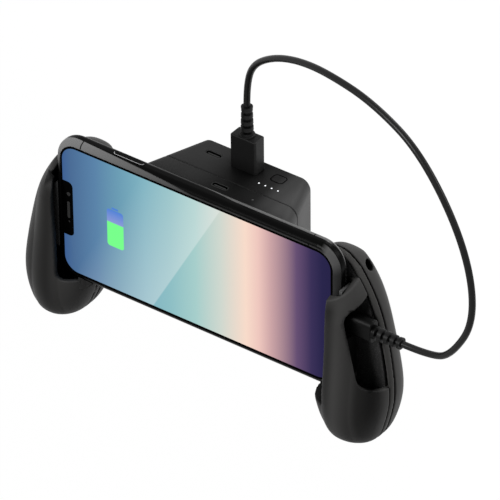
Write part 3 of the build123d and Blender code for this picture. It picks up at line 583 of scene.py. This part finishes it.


# The rail's painted reflections, as light and dark runs: a range of X, Y or Z, and the two values
# at its ends.
RAIL_DEPTH = 8.3
FRONT_RUN_EDGE, FRONT_RUN_LIGHT = (-72.0, -2.0, 3.2, 0.1), (-74.0, -5.0, 0.21, 0.06)
REAR_RUN_EDGE, REAR_RUN_LIGHT = (-16.0, 18.0, RAIL_DEPTH, 4.7), (0.0, 70.0, 0.1, 0.15)
FRONT_RUN_SOFTNESS, REAR_RUN_SOFTNESS = (-0.15, 0.15), (-0.2, 0.2)
RIM, RIM_LIGHT = (7.4, 7.8, 0.1), (68.0, 76.0, 0.05, 0.5)
CORNER_FRONT, CORNER_FRONT_LIGHT = (2.6, 2.3), (69.0, 72.0, 0.0, 0.1)
CORNER_GAP, CORNER_START = (2.8, 6.1, 0.1), (70.0, 72.0)
ANTENNA_LINES, ANTENNA_LINE_EDGE = (-64.0, 62.5), (0.35, 0.2)
TOP_RUN, TOP_RUN_CORNER = (22.0, 31.0), (60.0, 70.0, 0.0, 0.35)


def rail_with_painted_reflections(name, dark):
    """The phone's polished band, with painted reflections: light and dark runs along its length."""
    material, tree, shader = new_material(name, Specular_IOR_Level=0.03)
    x, y, z = local_millimetres(tree)
    front = ranged(tree, minus(tree, ranged(tree, x, *FRONT_RUN_EDGE), y), *FRONT_RUN_SOFTNESS)
    rear = ranged(tree, minus(tree, y, ranged(tree, x, *REAR_RUN_EDGE)), *REAR_RUN_SOFTNESS)
    light = plus(tree, times(tree, front, ranged(tree, x, *FRONT_RUN_LIGHT)),
                 times(tree, rear, ranged(tree, x, *REAR_RUN_LIGHT)))
    rim_light = ranged(tree, maths(tree, "ABSOLUTE", x), *RIM_LIGHT)
    light = larger(tree, light, times(tree, inside(tree, y, *RIM), rim_light))
    light = larger(tree, light, times(tree, ranged(tree, y, *CORNER_FRONT),
                                      ranged(tree, x, *CORNER_FRONT_LIGHT)))
    gap = times(tree, inside(tree, y, *CORNER_GAP), ranged(tree, x, *CORNER_START))
    lines = larger(tree, *(ranged(tree, off(tree, x, at), *ANTENNA_LINE_EDGE) for at in ANTENNA_LINES))
    on_top = larger(tree, ranged(tree, z, *TOP_RUN), ranged(tree, x, *TOP_RUN_CORNER))
    light = times(tree, light, left_over(tree, gap), left_over(tree, lines), on_top)
    handled_roughness(tree, shader, Smooth=0.16, Rough=0.26, Scale=60.0)
    tint(tree, shader, dark, WHITE, light)
    return material


LENS_FIRST_X, LENS_PITCH, LENS_Y = 12.1, 3.5, 32.3
LENS_EDGE = (0.44, 0.3)
LENS_LIGHT, LENS_DIM_LIGHT, LENS_SHADE = 1.65, 0.05, 0.9


def lit_lenses(name, colour):
    """A light guide, bright in the battery pack's four round lenses and faint elsewhere."""
    material, tree, shader = new_material(
        name, Base_Color=(0.03, 0.03, 0.03, 1.0), Roughness=0.3, Specular_IOR_Level=0.1,
        Emission_Strength=LENS_LIGHT)
    x, y, z = local_millimetres(tree)
    turns = maths(tree, "DIVIDE", minus(tree, x, LENS_FIRST_X - LENS_PITCH / 2), LENS_PITCH)
    across = times(tree, minus(tree, maths(tree, "FRACT", turns), 0.5), LENS_PITCH)
    away = reach(tree, across, minus(tree, y, LENS_Y))
    lit = ranged(tree, away, *LENS_EDGE, LENS_DIM_LIGHT / LENS_LIGHT, 1.0)
    handled = group_node(tree, handling_group, Scale=400.0)
    light = mixed_colour(tree, colour, tuple(LENS_SHADE * v for v in colour), handled.outputs["Mask"])
    link(tree, mixed_colour(tree, BLACK, light, lit), shader.inputs["Emission Color"])
    return material


# Each finish's maker and what it takes after the slot's own colour. Moulded plastics take the
# colour of their edges' painted highlight, the smoothest and roughest places, the grain's scale
# and its depth in metres, and the specular level. Metals take the colour of their bright lines
# and the roughness; steel also takes the colour of its painted shade in the charging sockets.
FINISH_MAKERS = {
    "handle_plastic": (front_lit_shaded_plastic, grey(0.11), (0.38, 0.48), 1500.0, 0.00006, 0.05),
    "band_plastic": (left_shaded_band_plastic, grey(0.1), (0.38, 0.46), 1500.0, 0.00004, 0.05),
    "liner_plastic": (speckled_plastic, grey(0.06)),
    "housing_plastic": (top_shaded_plastic, grey(0.135), (0.4, 0.5), 2200.0, 0.00005, 0.03),
    "inner_plastic": (moulded_plastic, grey(0.04), (0.45, 0.6), 1200.0, 0.00004, 0.4),
    "soft_pad": (moulded_plastic, grey(0.1), (0.7, 0.85), 1800.0, 0.0001, 0.3),
    "cable_rubber": (moulded_plastic, grey(0.016), (0.24, 0.32), 3000.0, 0.000005, 0.12),
    "plug_plastic": (side_lit_plug_plastic, grey(0.05), (0.36, 0.46), 2500.0, 0.00003, 0.08),
    "steel": (socket_shaded_steel, (0.6, 0.6, 0.61), (0.2, 0.35), grey(0.03)),
    "arm_metal": (worked_metal, (0.05, 0.05, 0.052), (0.3, 0.45)),
    "phone_metal": (rail_with_painted_reflections,),
    "phone_glass_black": (gloss_black, grey(0.0008)),
    "phone_filling": (worked_metal, grey(0.1), (0.5, 0.6)),
    "copper": (worked_metal, (0.8, 0.42, 0.22), (0.25, 0.4)),
    "ferrite": (moulded_plastic, grey(0.08), (0.6, 0.8), 900.0, 0.00005, 0.3),
    "board_green": (moulded_plastic, (0.03, 0.16, 0.09), (0.3, 0.45), 700.0, 0.00003, 0.5),
    "cell_wrap": (worked_metal, (0.62, 0.63, 0.65), (0.3, 0.45)),
    "magnet": (worked_metal, (0.65, 0.65, 0.66), (0.12, 0.2)),
    "gold_contact": (worked_metal, (0.9, 0.68, 0.32), (0.2, 0.3)),
    "light_pipe": (lit_lenses,),
    "pinion_plastic": (moulded_plastic, (0.7, 0.69, 0.64), (0.35, 0.5), 1000.0, 0.00003, 0.5),
}
FINISHES = {}


# Meshes

def linked(name, data):
    """An object in the scene that holds a mesh, a curve, a light or a camera."""
    made = bpy.data.objects.new(name, data)
    bpy.context.scene.collection.objects.link(made)
    return made


def new_piece(name, mesh, body, slot):
    """A shown piece that rides on a body and takes its finish from a slot."""
    piece = linked(name, mesh)
    mesh.materials.clear()
    mesh.materials.append(FINISHES[slot])
    if body is not None:
        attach(piece, body)
    return piece


def finished_mesh(build, name, angle=None):
    """A bmesh's mesh, its faces turned outwards and smooth up to an angle in degrees."""
    bmesh.ops.recalc_face_normals(build, faces=build.faces)
    mesh = bpy.data.meshes.new(name)
    build.to_mesh(mesh)
    build.free()
    if angle is not None:
        mesh.shade_smooth()
        mesh.set_sharp_from_angle(angle=math.radians(angle))
    return mesh


def fill_between(build, first, second, closed=True):
    """Faces between two equal rows of vertices."""
    for index in range(len(first) if closed else len(first) - 1):
        following = (index + 1) % len(first)
        build.faces.new((first[index], second[index], second[following], first[following]))


def close_tube(build, rings):
    """Faces along equal rings of vertices and over both ends."""
    for before, after in zip(rings, rings[1:]):
        fill_between(build, after, before)
    build.faces.new(list(reversed(rings[0])))
    build.faces.new(rings[-1])


def round_ring(build, middle, across, side, radius, sides):
    """Vertices round a point."""
    turns = [2 * math.pi * step / sides for step in range(sides)]
    return [build.verts.new(middle + (across * math.cos(turn) + side * math.sin(turn)) * radius)
            for turn in turns]


def tube_mesh(name, points, radius, sides):
    """A round tube along points, with its ends closed."""
    build = bmesh.new()
    rings = []
    ahead = [(b - a).normalized() for a, b in zip(points, points[1:])]
    ahead.append(ahead[-1])
    across = ahead[0].orthogonal().normalized()
    for index, point in enumerate(points):
        along = (ahead[max(index - 1, 0)] + ahead[index]).normalized()
        across = (across - along * across.dot(along)).normalized()
        rings.append(round_ring(build, point, across, along.cross(across), radius, sides))
    close_tube(build, rings)
    return finished_mesh(build, name, angle=60.0)


def spline_points(name, points, resolution):
    """Points along the smooth line that has these control points."""
    data = bpy.data.curves.new(name, "CURVE")
    data.dimensions = "3D"
    spline = data.splines.new("NURBS")
    spline.points.add(len(points) - 1)
    for control, point in zip(spline.points, points):
        control.co = (*point, 1.0)
    spline.order_u = 3
    spline.use_endpoint_u = True
    spline.resolution_u = resolution
    holder = linked(name, data)
    bpy.context.view_layer.update()
    line = bpy.data.meshes.new_from_object(holder)
    found = [vertex.co.copy() for vertex in line.vertices]
    bpy.data.objects.remove(holder)
    bpy.data.curves.remove(data)
    bpy.data.meshes.remove(line)
    return found


# Settings

def colour_setting(title, description, colour):
    """A colour that the user can change."""
    return FloatVectorProperty(name=title, description=description, default=colour, subtype="COLOR",
                               min=0.0, max=1.0)


class FinishSettings(bpy.types.PropertyGroup):
    """The main colour of each material slot."""
    handle_plastic: colour_setting("Handles", "The handles' front and rear shells", (0.057, 0.056, 0.055))
    band_plastic: colour_setting("Mid Bands", "The bands between the shells", (0.058, 0.057, 0.055))
    liner_plastic: colour_setting("Liners", "The textured walls inside the handles", grey(0.02))
    housing_plastic: colour_setting("Housings", "The charging module and the battery pack", grey(0.125))
    inner_plastic: colour_setting("Inner Plastic", "The plastic parts inside", (0.02, 0.02, 0.021))
    soft_pad: colour_setting("Pads", "The soft clamp and rest pads", grey(0.075))
    cable_rubber: colour_setting("Cord", "The charging cable's jacket", grey(0.012))
    plug_plastic: colour_setting("Plugs", "The plugs and their strain reliefs", grey(0.034))
    steel: colour_setting("Steel", "Screws, sockets and plug tips", (0.42, 0.42, 0.43))
    arm_metal: colour_setting("Slide Arms", "The arms that carry the handles", (0.03, 0.03, 0.032))
    phone_metal: colour_setting("Phone Rail", "The phone rail's dark runs", grey(0.002))
    phone_glass_black: colour_setting("Black Glass", "The phone's black glass", grey(0.0004))
    phone_filling: colour_setting("Phone Inside", "The phone's cell and boards", grey(0.08))
    copper: colour_setting("Coil", "The charging coil", (0.62, 0.28, 0.12))
    ferrite: colour_setting("Ferrite", "The sheet behind the coil", (0.05, 0.05, 0.052))
    board_green: colour_setting("Boards", "The circuit boards", (0.01, 0.09, 0.045))
    cell_wrap: colour_setting("Cells", "The battery cells' wrap", (0.5, 0.51, 0.53))
    magnet: colour_setting("Magnets", "Magnets and polished lines", (0.55, 0.55, 0.56))
    gold_contact: colour_setting("Contacts", "The gold contacts", (0.8, 0.55, 0.2))
    light_pipe: colour_setting("Lamps", "The light of the indicator lenses", (0.95, 0.97, 1.0))
    pinion_plastic: colour_setting("Pinion", "The gear that ties the slides", (0.6, 0.59, 0.54))


class CameraSettings(bpy.types.PropertyGroup):
    """The camera's place, measured from the front glass's middle."""
    azimuth: FloatProperty(name="Azimuth", description="Angle round the object",
                           default=math.radians(36.5), subtype="ANGLE")
    elevation: FloatProperty(name="Elevation", description="Angle above the horizon",
                             default=math.radians(36.1), subtype="ANGLE")
    roll: FloatProperty(name="Roll", description="The picture's tilt",
                        default=math.radians(-0.6), subtype="ANGLE")
    distance: FloatProperty(name="Distance", description="From the front glass's middle",
                            default=2.693, unit="LENGTH")
    across: FloatProperty(name="Across", description="How far the aim lies to the right",
                          default=0.024549, unit="LENGTH")
    above: FloatProperty(name="Above", description="How far the aim lies above",
                         default=0.005603, unit="LENGTH")
    lens: FloatProperty(name="Lens", description="Focal length", default=432.0, unit="CAMERA")


class CordSettings(bpy.types.PropertyGroup):
    """The charging cable."""
    diameter: FloatProperty(name="Diameter", description="The cord's diameter",
                            default=0.0032, unit="LENGTH")
    length: FloatProperty(name="Length", description="The cord's length between its strain reliefs",
                          default=0.285, unit="LENGTH")
    sides: IntProperty(name="Sides", description="Faces round the cord", default=24)


class ShellSettings(bpy.types.PropertyGroup):
    """The handles' softened shells."""
    grid: FloatProperty(name="Grid", description="Size of the even grid that rebuilds the shells",
                        default=0.0005, unit="LENGTH")
    passes: IntProperty(name="Passes", description="How often the rebuilt surface is smoothed", default=5)


SETTINGS = {
    "grip_finishes": FinishSettings,
    "grip_camera": CameraSettings,
    "grip_shells": ShellSettings,
    "grip_cord": CordSettings,
}


# Operators

class GRIP_OT_finishes(bpy.types.Operator):
    """Makes the materials and gives one to every CAD node"""
    bl_idname = "grip.finishes"
    bl_label = "Finishes"

    def execute(self, context):
        for slot, (make, *finish) in FINISH_MAKERS.items():
            colour = tuple(getattr(context.scene.grip_finishes, slot))
            FINISHES[slot] = make(slot, colour, *finish)
        FINISHES["display_glass"] = lit_display("display_glass")
        for name, piece in NODES.items():
            for slot in piece.material_slots:
                slot.material = FINISHES[NODE_SLOTS[name]]
        return {"FINISHED"}


class GRIP_OT_stage(bpy.types.Operator):
    """Adds the floor, the soft studio light and the camera"""
    bl_idname = "grip.stage"
    bl_label = "Stage"

    def execute(self, context):
        make_floor()
        make_world(context.scene)
        make_lamps()
        make_camera(context.scene, context.scene.grip_camera)
        context.scene.view_settings.view_transform = "Standard"
        return {"FINISHED"}


def background_seen(tree):
    """1 where the background is seen directly, in a gloss or through glass."""
    path = node(tree, "ShaderNodeLightPath")
    gloss = larger(tree, path.outputs["Is Glossy Ray"], path.outputs["Is Transmission Ray"])
    return larger(tree, path.outputs["Is Camera Ray"], gloss)


# The floor's paint is dark in front of the object and paler behind it.
FLOOR_HALF = 6.0
FLOOR_AXIS, FLOOR_PAINT = (0.45, 0.9, 0.0), (0.0, 0.16, 0.02, 0.3)
FLOOR_LIGHT, FLOOR_LIGHT_SHARE = 1.05, 0.95


def make_floor():
    """A wide pale floor that keeps the object's shadow."""
    half = FLOOR_HALF
    mesh = bpy.data.meshes.new("floor")
    corners = [(-half, -half, 0), (half, -half, 0), (half, half, 0), (-half, half, 0)]
    mesh.from_pydata(corners, [], [(0, 1, 2, 3)])
    floor = linked("floor", mesh)
    material = bpy.data.materials.new("pale_floor")
    material.use_nodes = True
    tree = material.node_tree
    tree.nodes.remove(tree.nodes["Principled BSDF"])
    paint = node(tree, "ShaderNodeBsdfDiffuse")
    light = node(tree, "ShaderNodeEmission", Strength=FLOOR_LIGHT)
    mix = node(tree, "ShaderNodeMixShader")
    where = node(tree, "ShaderNodeTexCoord")
    along = node(tree, "ShaderNodeVectorMath", operation="DOT_PRODUCT")
    along.inputs[1].default_value = FLOOR_AXIS
    wire(tree, (where, "Object", along, 0))
    pale = ranged(tree, along.outputs["Value"], *FLOOR_PAINT)
    link(tree, mixed_colour(tree, BLACK, WHITE, pale), paint.inputs["Color"])
    link(tree, times(tree, background_seen(tree), FLOOR_LIGHT_SHARE), mix.inputs["Fac"])
    wire(tree, (paint, "BSDF", mix, 1), (light, "Emission", mix, 2),
         (mix, "Shader", tree.nodes["Material Output"], "Surface"))
    mesh.materials.append(material)


# Soft light from the sky: a base, and lobes as (direction, cosine where it starts, strength).
SKY_BASE = 0.03
SKY_LOBES = (
    ((0.95, 0.3, 0.1), 0.5, 0.45),
    ((-0.97, 0.2, 0.1), 0.5, 0.45),
    ((0.1, 0.8, 0.6), 0.6, 1.2),
)


def make_world(scene):
    """White behind the object, and soft light on it from the right, the left and behind."""
    world = bpy.data.worlds.new("studio")
    world.use_nodes = True
    tree = world.node_tree
    back = tree.nodes["Background"]
    back.inputs["Color"].default_value = (*WHITE, 1.0)
    where = node(tree, "ShaderNodeTexCoord")
    level = SKY_BASE
    for axis, start, strength in SKY_LOBES:
        turned = node(tree, "ShaderNodeVectorMath", operation="DOT_PRODUCT")
        turned.inputs[1].default_value = Vector(axis).normalized()
        wire(tree, (where, "Generated", turned, 0))
        level = plus(tree, ranged(tree, turned.outputs["Value"], start, 1.0, 0.0, strength), level)
    mix = node(tree, "ShaderNodeMix", data_type="FLOAT")
    mix.inputs["B"].default_value = 1.0
    link(tree, background_seen(tree), mix.inputs["Factor"])
    link(tree, level, mix.inputs["A"])
    wire(tree, (mix, "Result", back, "Strength"))
    scene.world = world


LAMP_SIZE = 0.7
LAMPS = (
    ("key", (-0.35, -1.4, 0.95), 26.0),
    ("side", (1.3, 0.9, 0.95), 8.0),
    ("back", (0.1, 1.3, 1.1), 8.0),
)


def make_lamps():
    """Three soft lamps: a key in front, one to the right and one behind."""
    aim = (CAD_LOW + CAD_HIGH) / 2
    for name, at, power in LAMPS:
        data = bpy.data.lights.new(name, "AREA")
        data.shape = "SQUARE"
        data.size = LAMP_SIZE
        data.energy = power
        lamp = linked(name, data)
        lamp.location = Vector(at)
        lamp.rotation_euler = (aim - lamp.location).to_track_quat("-Z", "Y").to_euler()


SENSOR_WIDTH, CLIP_END = 36.0, 20.0


def make_camera(scene, setting):
    """The camera at the photograph's viewing angle."""
    azimuth, elevation, roll = setting.azimuth, setting.elevation, setting.roll
    back = Vector((math.sin(azimuth) * math.cos(elevation), -math.cos(azimuth) * math.cos(elevation),
                   math.sin(elevation)))
    level = Vector((math.cos(azimuth), math.sin(azimuth), 0))
    upright = back.cross(level)
    right = level * math.cos(roll) + upright * math.sin(roll)
    up = upright * math.cos(roll) - level * math.sin(roll)
    data = bpy.data.cameras.new("camera")
    data.lens = setting.lens
    data.sensor_width = SENSOR_WIDTH
    data.clip_end = CLIP_END
    camera = linked("camera", data)
    at = ORIGIN + right * setting.across + up * setting.above + back * setting.distance
    camera.matrix_world = Matrix.Translation(at) @ Matrix((right, up, back)).transposed().to_4x4()
    scene.camera = camera


SOFT_SHELLS = ("right_front_shell", "right_mid_band", "right_rear_shell",
               "left_front_shell", "left_mid_band", "left_rear_shell")
SOFTEN_FACTOR = 0.5
TIP_START, TIP_SHARE = 24.0, 0.6
LIP_MIDDLE, LIP_HALF_WIDTH, LIP_CROWN = 81.5, 7.5, 1.4
LIP_TOP, LIP_FADE = 14.0, 10.0
LIP_FACING, LIP_FACING_START = 1.4, 0.3


def shaped_shell(mesh, name):
    """Draws the tip of a handle's shell in, and crowns the lip that closes over the phone."""
    places = np.empty(len(mesh.vertices) * 3)
    normals = np.empty(len(mesh.vertices) * 3)
    mesh.vertices.foreach_get("co", places)
    mesh.vertex_normals.foreach_get("vector", normals)
    places, normals = places.reshape(-1, 3), normals.reshape(-1, 3)
    high = ORIGIN.z + TIP_START * MM
    over = places[:, 2] > high
    places[over, 2] = high + (places[over, 2] - high) * TIP_SHARE
    if name.endswith("front_shell"):
        local = (places - np.array(ORIGIN)) / MM
        across = (np.abs(local[:, 0]) - LIP_MIDDLE) / LIP_HALF_WIDTH
        crown = np.clip(1 - across ** 2, 0, 1) * np.clip((LIP_TOP - local[:, 2]) / LIP_FADE, 0, 1)
        facing = np.clip(-normals[:, 1] * LIP_FACING - LIP_FACING_START, 0, 1)
        places[:, 1] -= LIP_CROWN * MM * crown * facing
    mesh.vertices.foreach_set("co", places.ravel())
    mesh.update()


class GRIP_OT_shells(bpy.types.Operator):
    """Shows the handles' shells with softened edges"""
    bl_idname = "grip.shells"
    bl_label = "Soft Shells"

    def execute(self, context):
        setting = context.scene.grip_shells
        for name in SOFT_SHELLS:
            source = NODES[name]
            rough = linked("rough_" + name, source.data.copy())
            rough.matrix_world = source.matrix_world.copy()
            remesh = rough.modifiers.new("grid", "REMESH")
            remesh.mode = "VOXEL"
            remesh.voxel_size = setting.grid
            remesh.use_smooth_shade = True
            soften = rough.modifiers.new("soften", "SMOOTH")
            soften.factor = SOFTEN_FACTOR
            soften.iterations = setting.passes
            context.view_layer.update()
            evaluated = rough.evaluated_get(context.evaluated_depsgraph_get())
            mesh = bpy.data.meshes.new_from_object(evaluated)
            mesh.transform(rough.matrix_world)
            bpy.data.objects.remove(rough)
            shaped_shell(mesh, name)
            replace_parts(new_piece("soft_" + name, mesh, BODY_OF[name], NODE_SLOTS[name]), name)
        return {"FINISHED"}


# Each relief's radius at its foot, its radius at its end and its collar's radius, then what both
# share: where the first slot starts, the slots' pitch, their share of it and how many there are.
PACK_RELIEF, PHONE_RELIEF = (3.1, 2.6, 3.7), (3.3, 2.7, 3.2)
RELIEF_STEPS, RELIEF_SIDES = 96, 48
PHONE_RELIEF_SIDE = Vector((0, 0.5, 0.866))
RELIEF_FIRST, RELIEF_PITCH, RELIEF_SHARE, RELIEF_SLOTS = 1.8, 3.4, 0.42, 4
RELIEF_CORE, RELIEF_COLLAR, RELIEF_END, RELIEF_END_STEP = 1.6, 0.8, 0.9, 0.15


def relief_mesh(name, start, along, across, length, radius, end_radius, collar):
    """A strain relief: a tapered stack of rings on a thin core, with a collar at its foot."""
    build = bmesh.new()
    rings = []
    for step in range(RELIEF_STEPS + 1):
        far = length * step / RELIEF_STEPS
        size = radius + (end_radius - radius) * step / RELIEF_STEPS
        slot, within = divmod((far - RELIEF_FIRST) / RELIEF_PITCH, 1.0)
        if 0 <= slot < RELIEF_SLOTS and within < RELIEF_SHARE:
            size = RELIEF_CORE
        if far < RELIEF_COLLAR:
            size = collar
        if far > length - RELIEF_END:
            size = end_radius + RELIEF_END_STEP
        rings.append(round_ring(build, start + along * far * MM, across, along.cross(across),
                                size * MM, RELIEF_SIDES))
    close_tube(build, rings)
    return finished_mesh(build, name, angle=30.0)


class GRIP_OT_reliefs(bpy.types.Operator):
    """Adds the two plugs' ringed strain reliefs"""
    bl_idname = "grip.reliefs"
    bl_label = "Strain Reliefs"

    def execute(self, context):
        low, high = local_box("usb_plug_relief")
        foot = place((low.x + high.x) / 2, (low.y + high.y) / 2, low.z)
        mesh = relief_mesh("usb_relief", foot, Vector((0, 0, 1)), Vector((1, 0, 0)),
                           high.z - low.z, *PACK_RELIEF)
        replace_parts(new_piece("usb_relief", mesh, "battery", "plug_plastic"), "usb_plug_relief")
        low, high = local_box("phone_plug_relief")
        foot = place(low.x, (low.y + high.y) / 2, (low.z + high.z) / 2)
        mesh = relief_mesh("phone_relief", foot, Vector((1, 0, 0)), PHONE_RELIEF_SIDE,
                           high.x - low.x, *PHONE_RELIEF)
        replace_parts(new_piece("phone_relief", mesh, "centre", "plug_plastic"), "phone_plug_relief")
        return {"FINISHED"}


# The cord's route: straight up from the pack's plug, over the top, and straight into the other.
CORD_RISE, CORD_RUN_IN = 75.0, 125.0
CORD_ROUTE = (
    (5.5, 37.5, 89.0), (19.5, 33.5, 100.5), (37.0, 28.5, 108.5), (57.5, 22.0, 113.5), (86.0, 16.0, 112.5),
    (116.0, 10.0, 101.0), (143.0, 4.5, 66.5), (151.0, 1.5, 32.0), (138.0, 1.5, 7.0),
)
CORD_RESOLUTION = 12


class GRIP_OT_cord(bpy.types.Operator):
    """Adds the charging cable's cord between its two strain reliefs"""
    bl_idname = "grip.cord"
    bl_label = "Cord"

    def execute(self, context):
        setting = context.scene.grip_cord
        low, high = local_box("usb_plug_relief")
        pack_x, pack_y, pack_top = (low.x + high.x) / 2, (low.y + high.y) / 2, high.z
        low, high = local_box("phone_plug_relief")
        port_y, port_end = (low.y + high.y) / 2, high.x
        route = [place(pack_x, pack_y, pack_top), place(pack_x, pack_y, CORD_RISE)]
        route += [place(*point) for point in CORD_ROUTE]
        route += [place(CORD_RUN_IN, port_y, 0.0), place(port_end, port_y, 0.0)]
        line = spline_points("cord_line", route, CORD_RESOLUTION)
        mesh = tube_mesh("cord_tube", line, setting.diameter / 2, setting.sides)
        piece = new_piece("charging_cord", mesh, None, "cable_rubber")
        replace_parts(piece, "cord")
        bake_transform(piece)
        return {"FINISHED"}


def stadium(middle_x, middle_z, half_width, half_height, steps=12):
    """Points round an upright slot with round ends."""
    points = []
    for turn, side in ((0, 1), (math.pi, -1)):
        for step in range(steps + 1):
            angle = turn + math.pi * step / steps
            points.append((middle_x + half_width * math.cos(angle),
                           middle_z + side * (half_height - half_width) + half_width * math.sin(angle)))
    return points


def plate_mesh(name, outline, lift):
    """A thin plate whose outline is in X and Z, lying on the front glass."""
    build = bmesh.new()
    close_tube(build, [[build.verts.new(place(x, y, z)) for x, z in outline] for y in (-lift, 0.0)])
    return finished_mesh(build, name)


# The parts in the display's notch: middle X and Z, half width and half height.
NOTCH_PARTS = {
    "earpiece": (-71.6, -0.6, 0.75, 4.6),
    "camera_ring": (-71.4, 8.2, 1.0, 1.01),
    "sensor_dot": (-71.4, -7.0, 0.4, 0.41),
}
NOTCH_LIFT = 0.12


class GRIP_OT_notch(bpy.types.Operator):
    """Adds the earpiece, the camera and the sensor in the display's notch"""
    bl_idname = "grip.notch"
    bl_label = "Notch Parts"

    def execute(self, context):
        for name, size in NOTCH_PARTS.items():
            new_piece(name, plate_mesh(name, stadium(*size), NOTCH_LIFT), "centre", "soft_pad")
        return {"FINISHED"}


# The left pad's section in X and Y, and how high its ends lie at its left and right edge.
PAD_SECTION = ((-80.6, -1.0), (-77.1, -0.7), (-77.1, -0.2), (-79.1, -0.2), (-79.1, 8.0), (-80.6, 8.0))
PAD_LEFT, PAD_RIGHT = -80.5, -77.1
PAD_ENDS = ((10.0, 13.6), (-22.5, -22.7))
PAD_EDGE = 0.18


def wrapped_pad_mesh(name):
    """The left clamp pad: a strip beside the phone whose front edge reaches over the rail."""
    build = bmesh.new()
    rings = []
    for left_z, right_z in PAD_ENDS:
        shares = [(x - PAD_LEFT) / (PAD_RIGHT - PAD_LEFT) for x, y in PAD_SECTION]
        rings.append([build.verts.new(place(x, y, left_z + share * (right_z - left_z)))
                      for (x, y), share in zip(PAD_SECTION, shares)])
    close_tube(build, rings)
    bmesh.ops.recalc_face_normals(build, faces=build.faces)
    bmesh.ops.bevel(build, geom=list(build.edges), offset=PAD_EDGE * MM, segments=3, affect="EDGES",
                    profile=0.5)
    return finished_mesh(build, name, angle=30.0)


# The corner skin's upper and lower outer edge, and how far its inner side lies from the outer.
CORNER_TOP = ((-65.9, -2.1, -35.5), (-64.8, 0.0, -37.5), (-64.2, 2.9, -40.5), (-64.8, 8.8, -46.5))
CORNER_FOOT = ((-67.0, -1.1, -44.6), (-66.0, 1.4, -45.8), (-65.6, 4.5, -47.5), (-66.3, 10.6, -51.4))
CORNER_DEPTH = Vector((0.2, 0.5, 0.2))


def corner_mesh(name):
    """The skin that closes the corner of the left shell's opening, under the phone."""
    build = bmesh.new()
    rings = []
    for top, foot in zip(CORNER_TOP, CORNER_FOOT):
        ring = (Vector(top), Vector(foot), Vector(foot) + CORNER_DEPTH, Vector(top) + CORNER_DEPTH)
        rings.append([build.verts.new(place(*point)) for point in ring])
    close_tube(build, rings)
    return finished_mesh(build, name, angle=40.0)


class GRIP_OT_left_trim(bpy.types.Operator):
    """Adds the left clamp pad and the skin at the corner of the left opening"""
    bl_idname = "grip.left_trim"
    bl_label = "Left Pad and Corner"

    def execute(self, context):
        pad = new_piece("left_pad", wrapped_pad_mesh("left_pad"), "left_grip", "soft_pad")
        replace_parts(pad, "left_clamp_pad")
        new_piece("left_shell_corner", corner_mesh("left_shell_corner"), "left_grip", "handle_plastic")
        return {"FINISHED"}


LINE_LIFT = 0.02
KEY_LINE_WIDTH, KEY_LINE_STEPS = 0.22, 8
BUTTON_Y = 39.9
BUTTON_HALF_X, BUTTON_HALF_Y, BUTTON_CORNER = 3.1, 2.5, 1.4
BUTTON_LINE, BUTTON_LINE_STEPS = (0.05, 0.5), 6


def lit_edge_mesh(name, left, right, front, rear, height):
    """The thin polished line round the front half of a key, with turned ends."""
    build = bmesh.new()
    half = (rear - front) / 2
    rows = []
    for size in (half, half - KEY_LINE_WIDTH):
        row = []
        for end, start in ((left + half, math.pi), (right - half, 1.5 * math.pi)):
            for step in range(KEY_LINE_STEPS + 1):
                turn = start + step / KEY_LINE_STEPS * math.pi / 2
                row.append(build.verts.new(place(end + size * math.cos(turn),
                                                 front + half + size * math.sin(turn), height)))
        rows.append(row)
    fill_between(build, rows[1], rows[0], closed=False)
    return finished_mesh(build, name)


def button_line_mesh(name, middle_x, height):
    """The dark line round the power button."""
    build = bmesh.new()
    rings = []
    for grow in BUTTON_LINE:
        corner = BUTTON_CORNER + grow
        out_x, out_y = BUTTON_HALF_X + grow - corner, BUTTON_HALF_Y + grow - corner
        ring = []
        for turn, (side_x, side_y) in enumerate(((1, 1), (-1, 1), (-1, -1), (1, -1))):
            for step in range(BUTTON_LINE_STEPS + 1):
                angle = (turn + step / BUTTON_LINE_STEPS) * math.pi / 2
                ring.append(build.verts.new(place(middle_x + side_x * out_x + corner * math.cos(angle),
                                                  BUTTON_Y + side_y * out_y + corner * math.sin(angle),
                                                  height)))
        rings.append(ring)
    fill_between(build, *rings)
    return finished_mesh(build, name)


class GRIP_OT_key_lines(bpy.types.Operator):
    """Adds the lines at the phone's side key and round the power button"""
    bl_idname = "grip.key_lines"
    bl_label = "Key Lines"

    def execute(self, context):
        low, high = local_box("phone_side_key")
        mesh = lit_edge_mesh("side_key_line", low.x, high.x, low.y, high.y, high.z + LINE_LIFT)
        new_piece("side_key_line", mesh, "side_key", "magnet")
        low, high = local_box("power_button")
        top = local_box("battery_shell")[1].z
        mesh = button_line_mesh("button_line", (low.x + high.x) / 2, top + LINE_LIFT)
        new_piece("button_line", mesh, "battery", "phone_glass_black")
        return {"FINISHED"}


STEPS = (GRIP_OT_finishes, GRIP_OT_stage, GRIP_OT_shells, GRIP_OT_reliefs, GRIP_OT_cord,
         GRIP_OT_notch, GRIP_OT_left_trim, GRIP_OT_key_lines)


class GRIP_PT_panel(bpy.types.Panel):
    """Lists the steps in the sidebar"""
    bl_idname = "GRIP_PT_panel"
    bl_label = "Phone Grip"
    bl_space_type = "VIEW_3D"
    bl_region_type = "UI"
    bl_category = "Phone Grip"

    def draw(self, context):
        for step in STEPS:
            self.layout.operator(step.bl_idname)


CLASSES = (*SETTINGS.values(), *STEPS, GRIP_PT_panel)


def register():
    """Registers the settings, the operators and the panel."""
    for item in CLASSES:
        bpy.utils.register_class(item)
    for name, kind in SETTINGS.items():
        setattr(bpy.types.Scene, name, PointerProperty(type=kind))


def unregister():
    """Takes them away again."""
    for name in SETTINGS:
        delattr(bpy.types.Scene, name)
    for item in reversed(CLASSES):
        bpy.utils.unregister_class(item)


def main():
    """Registers the settings and runs every step in order."""
    register()
    for step in STEPS:
        area, action = step.bl_idname.split(".")
        getattr(getattr(bpy.ops, area), action)()


if __name__ == "__main__":
    main()
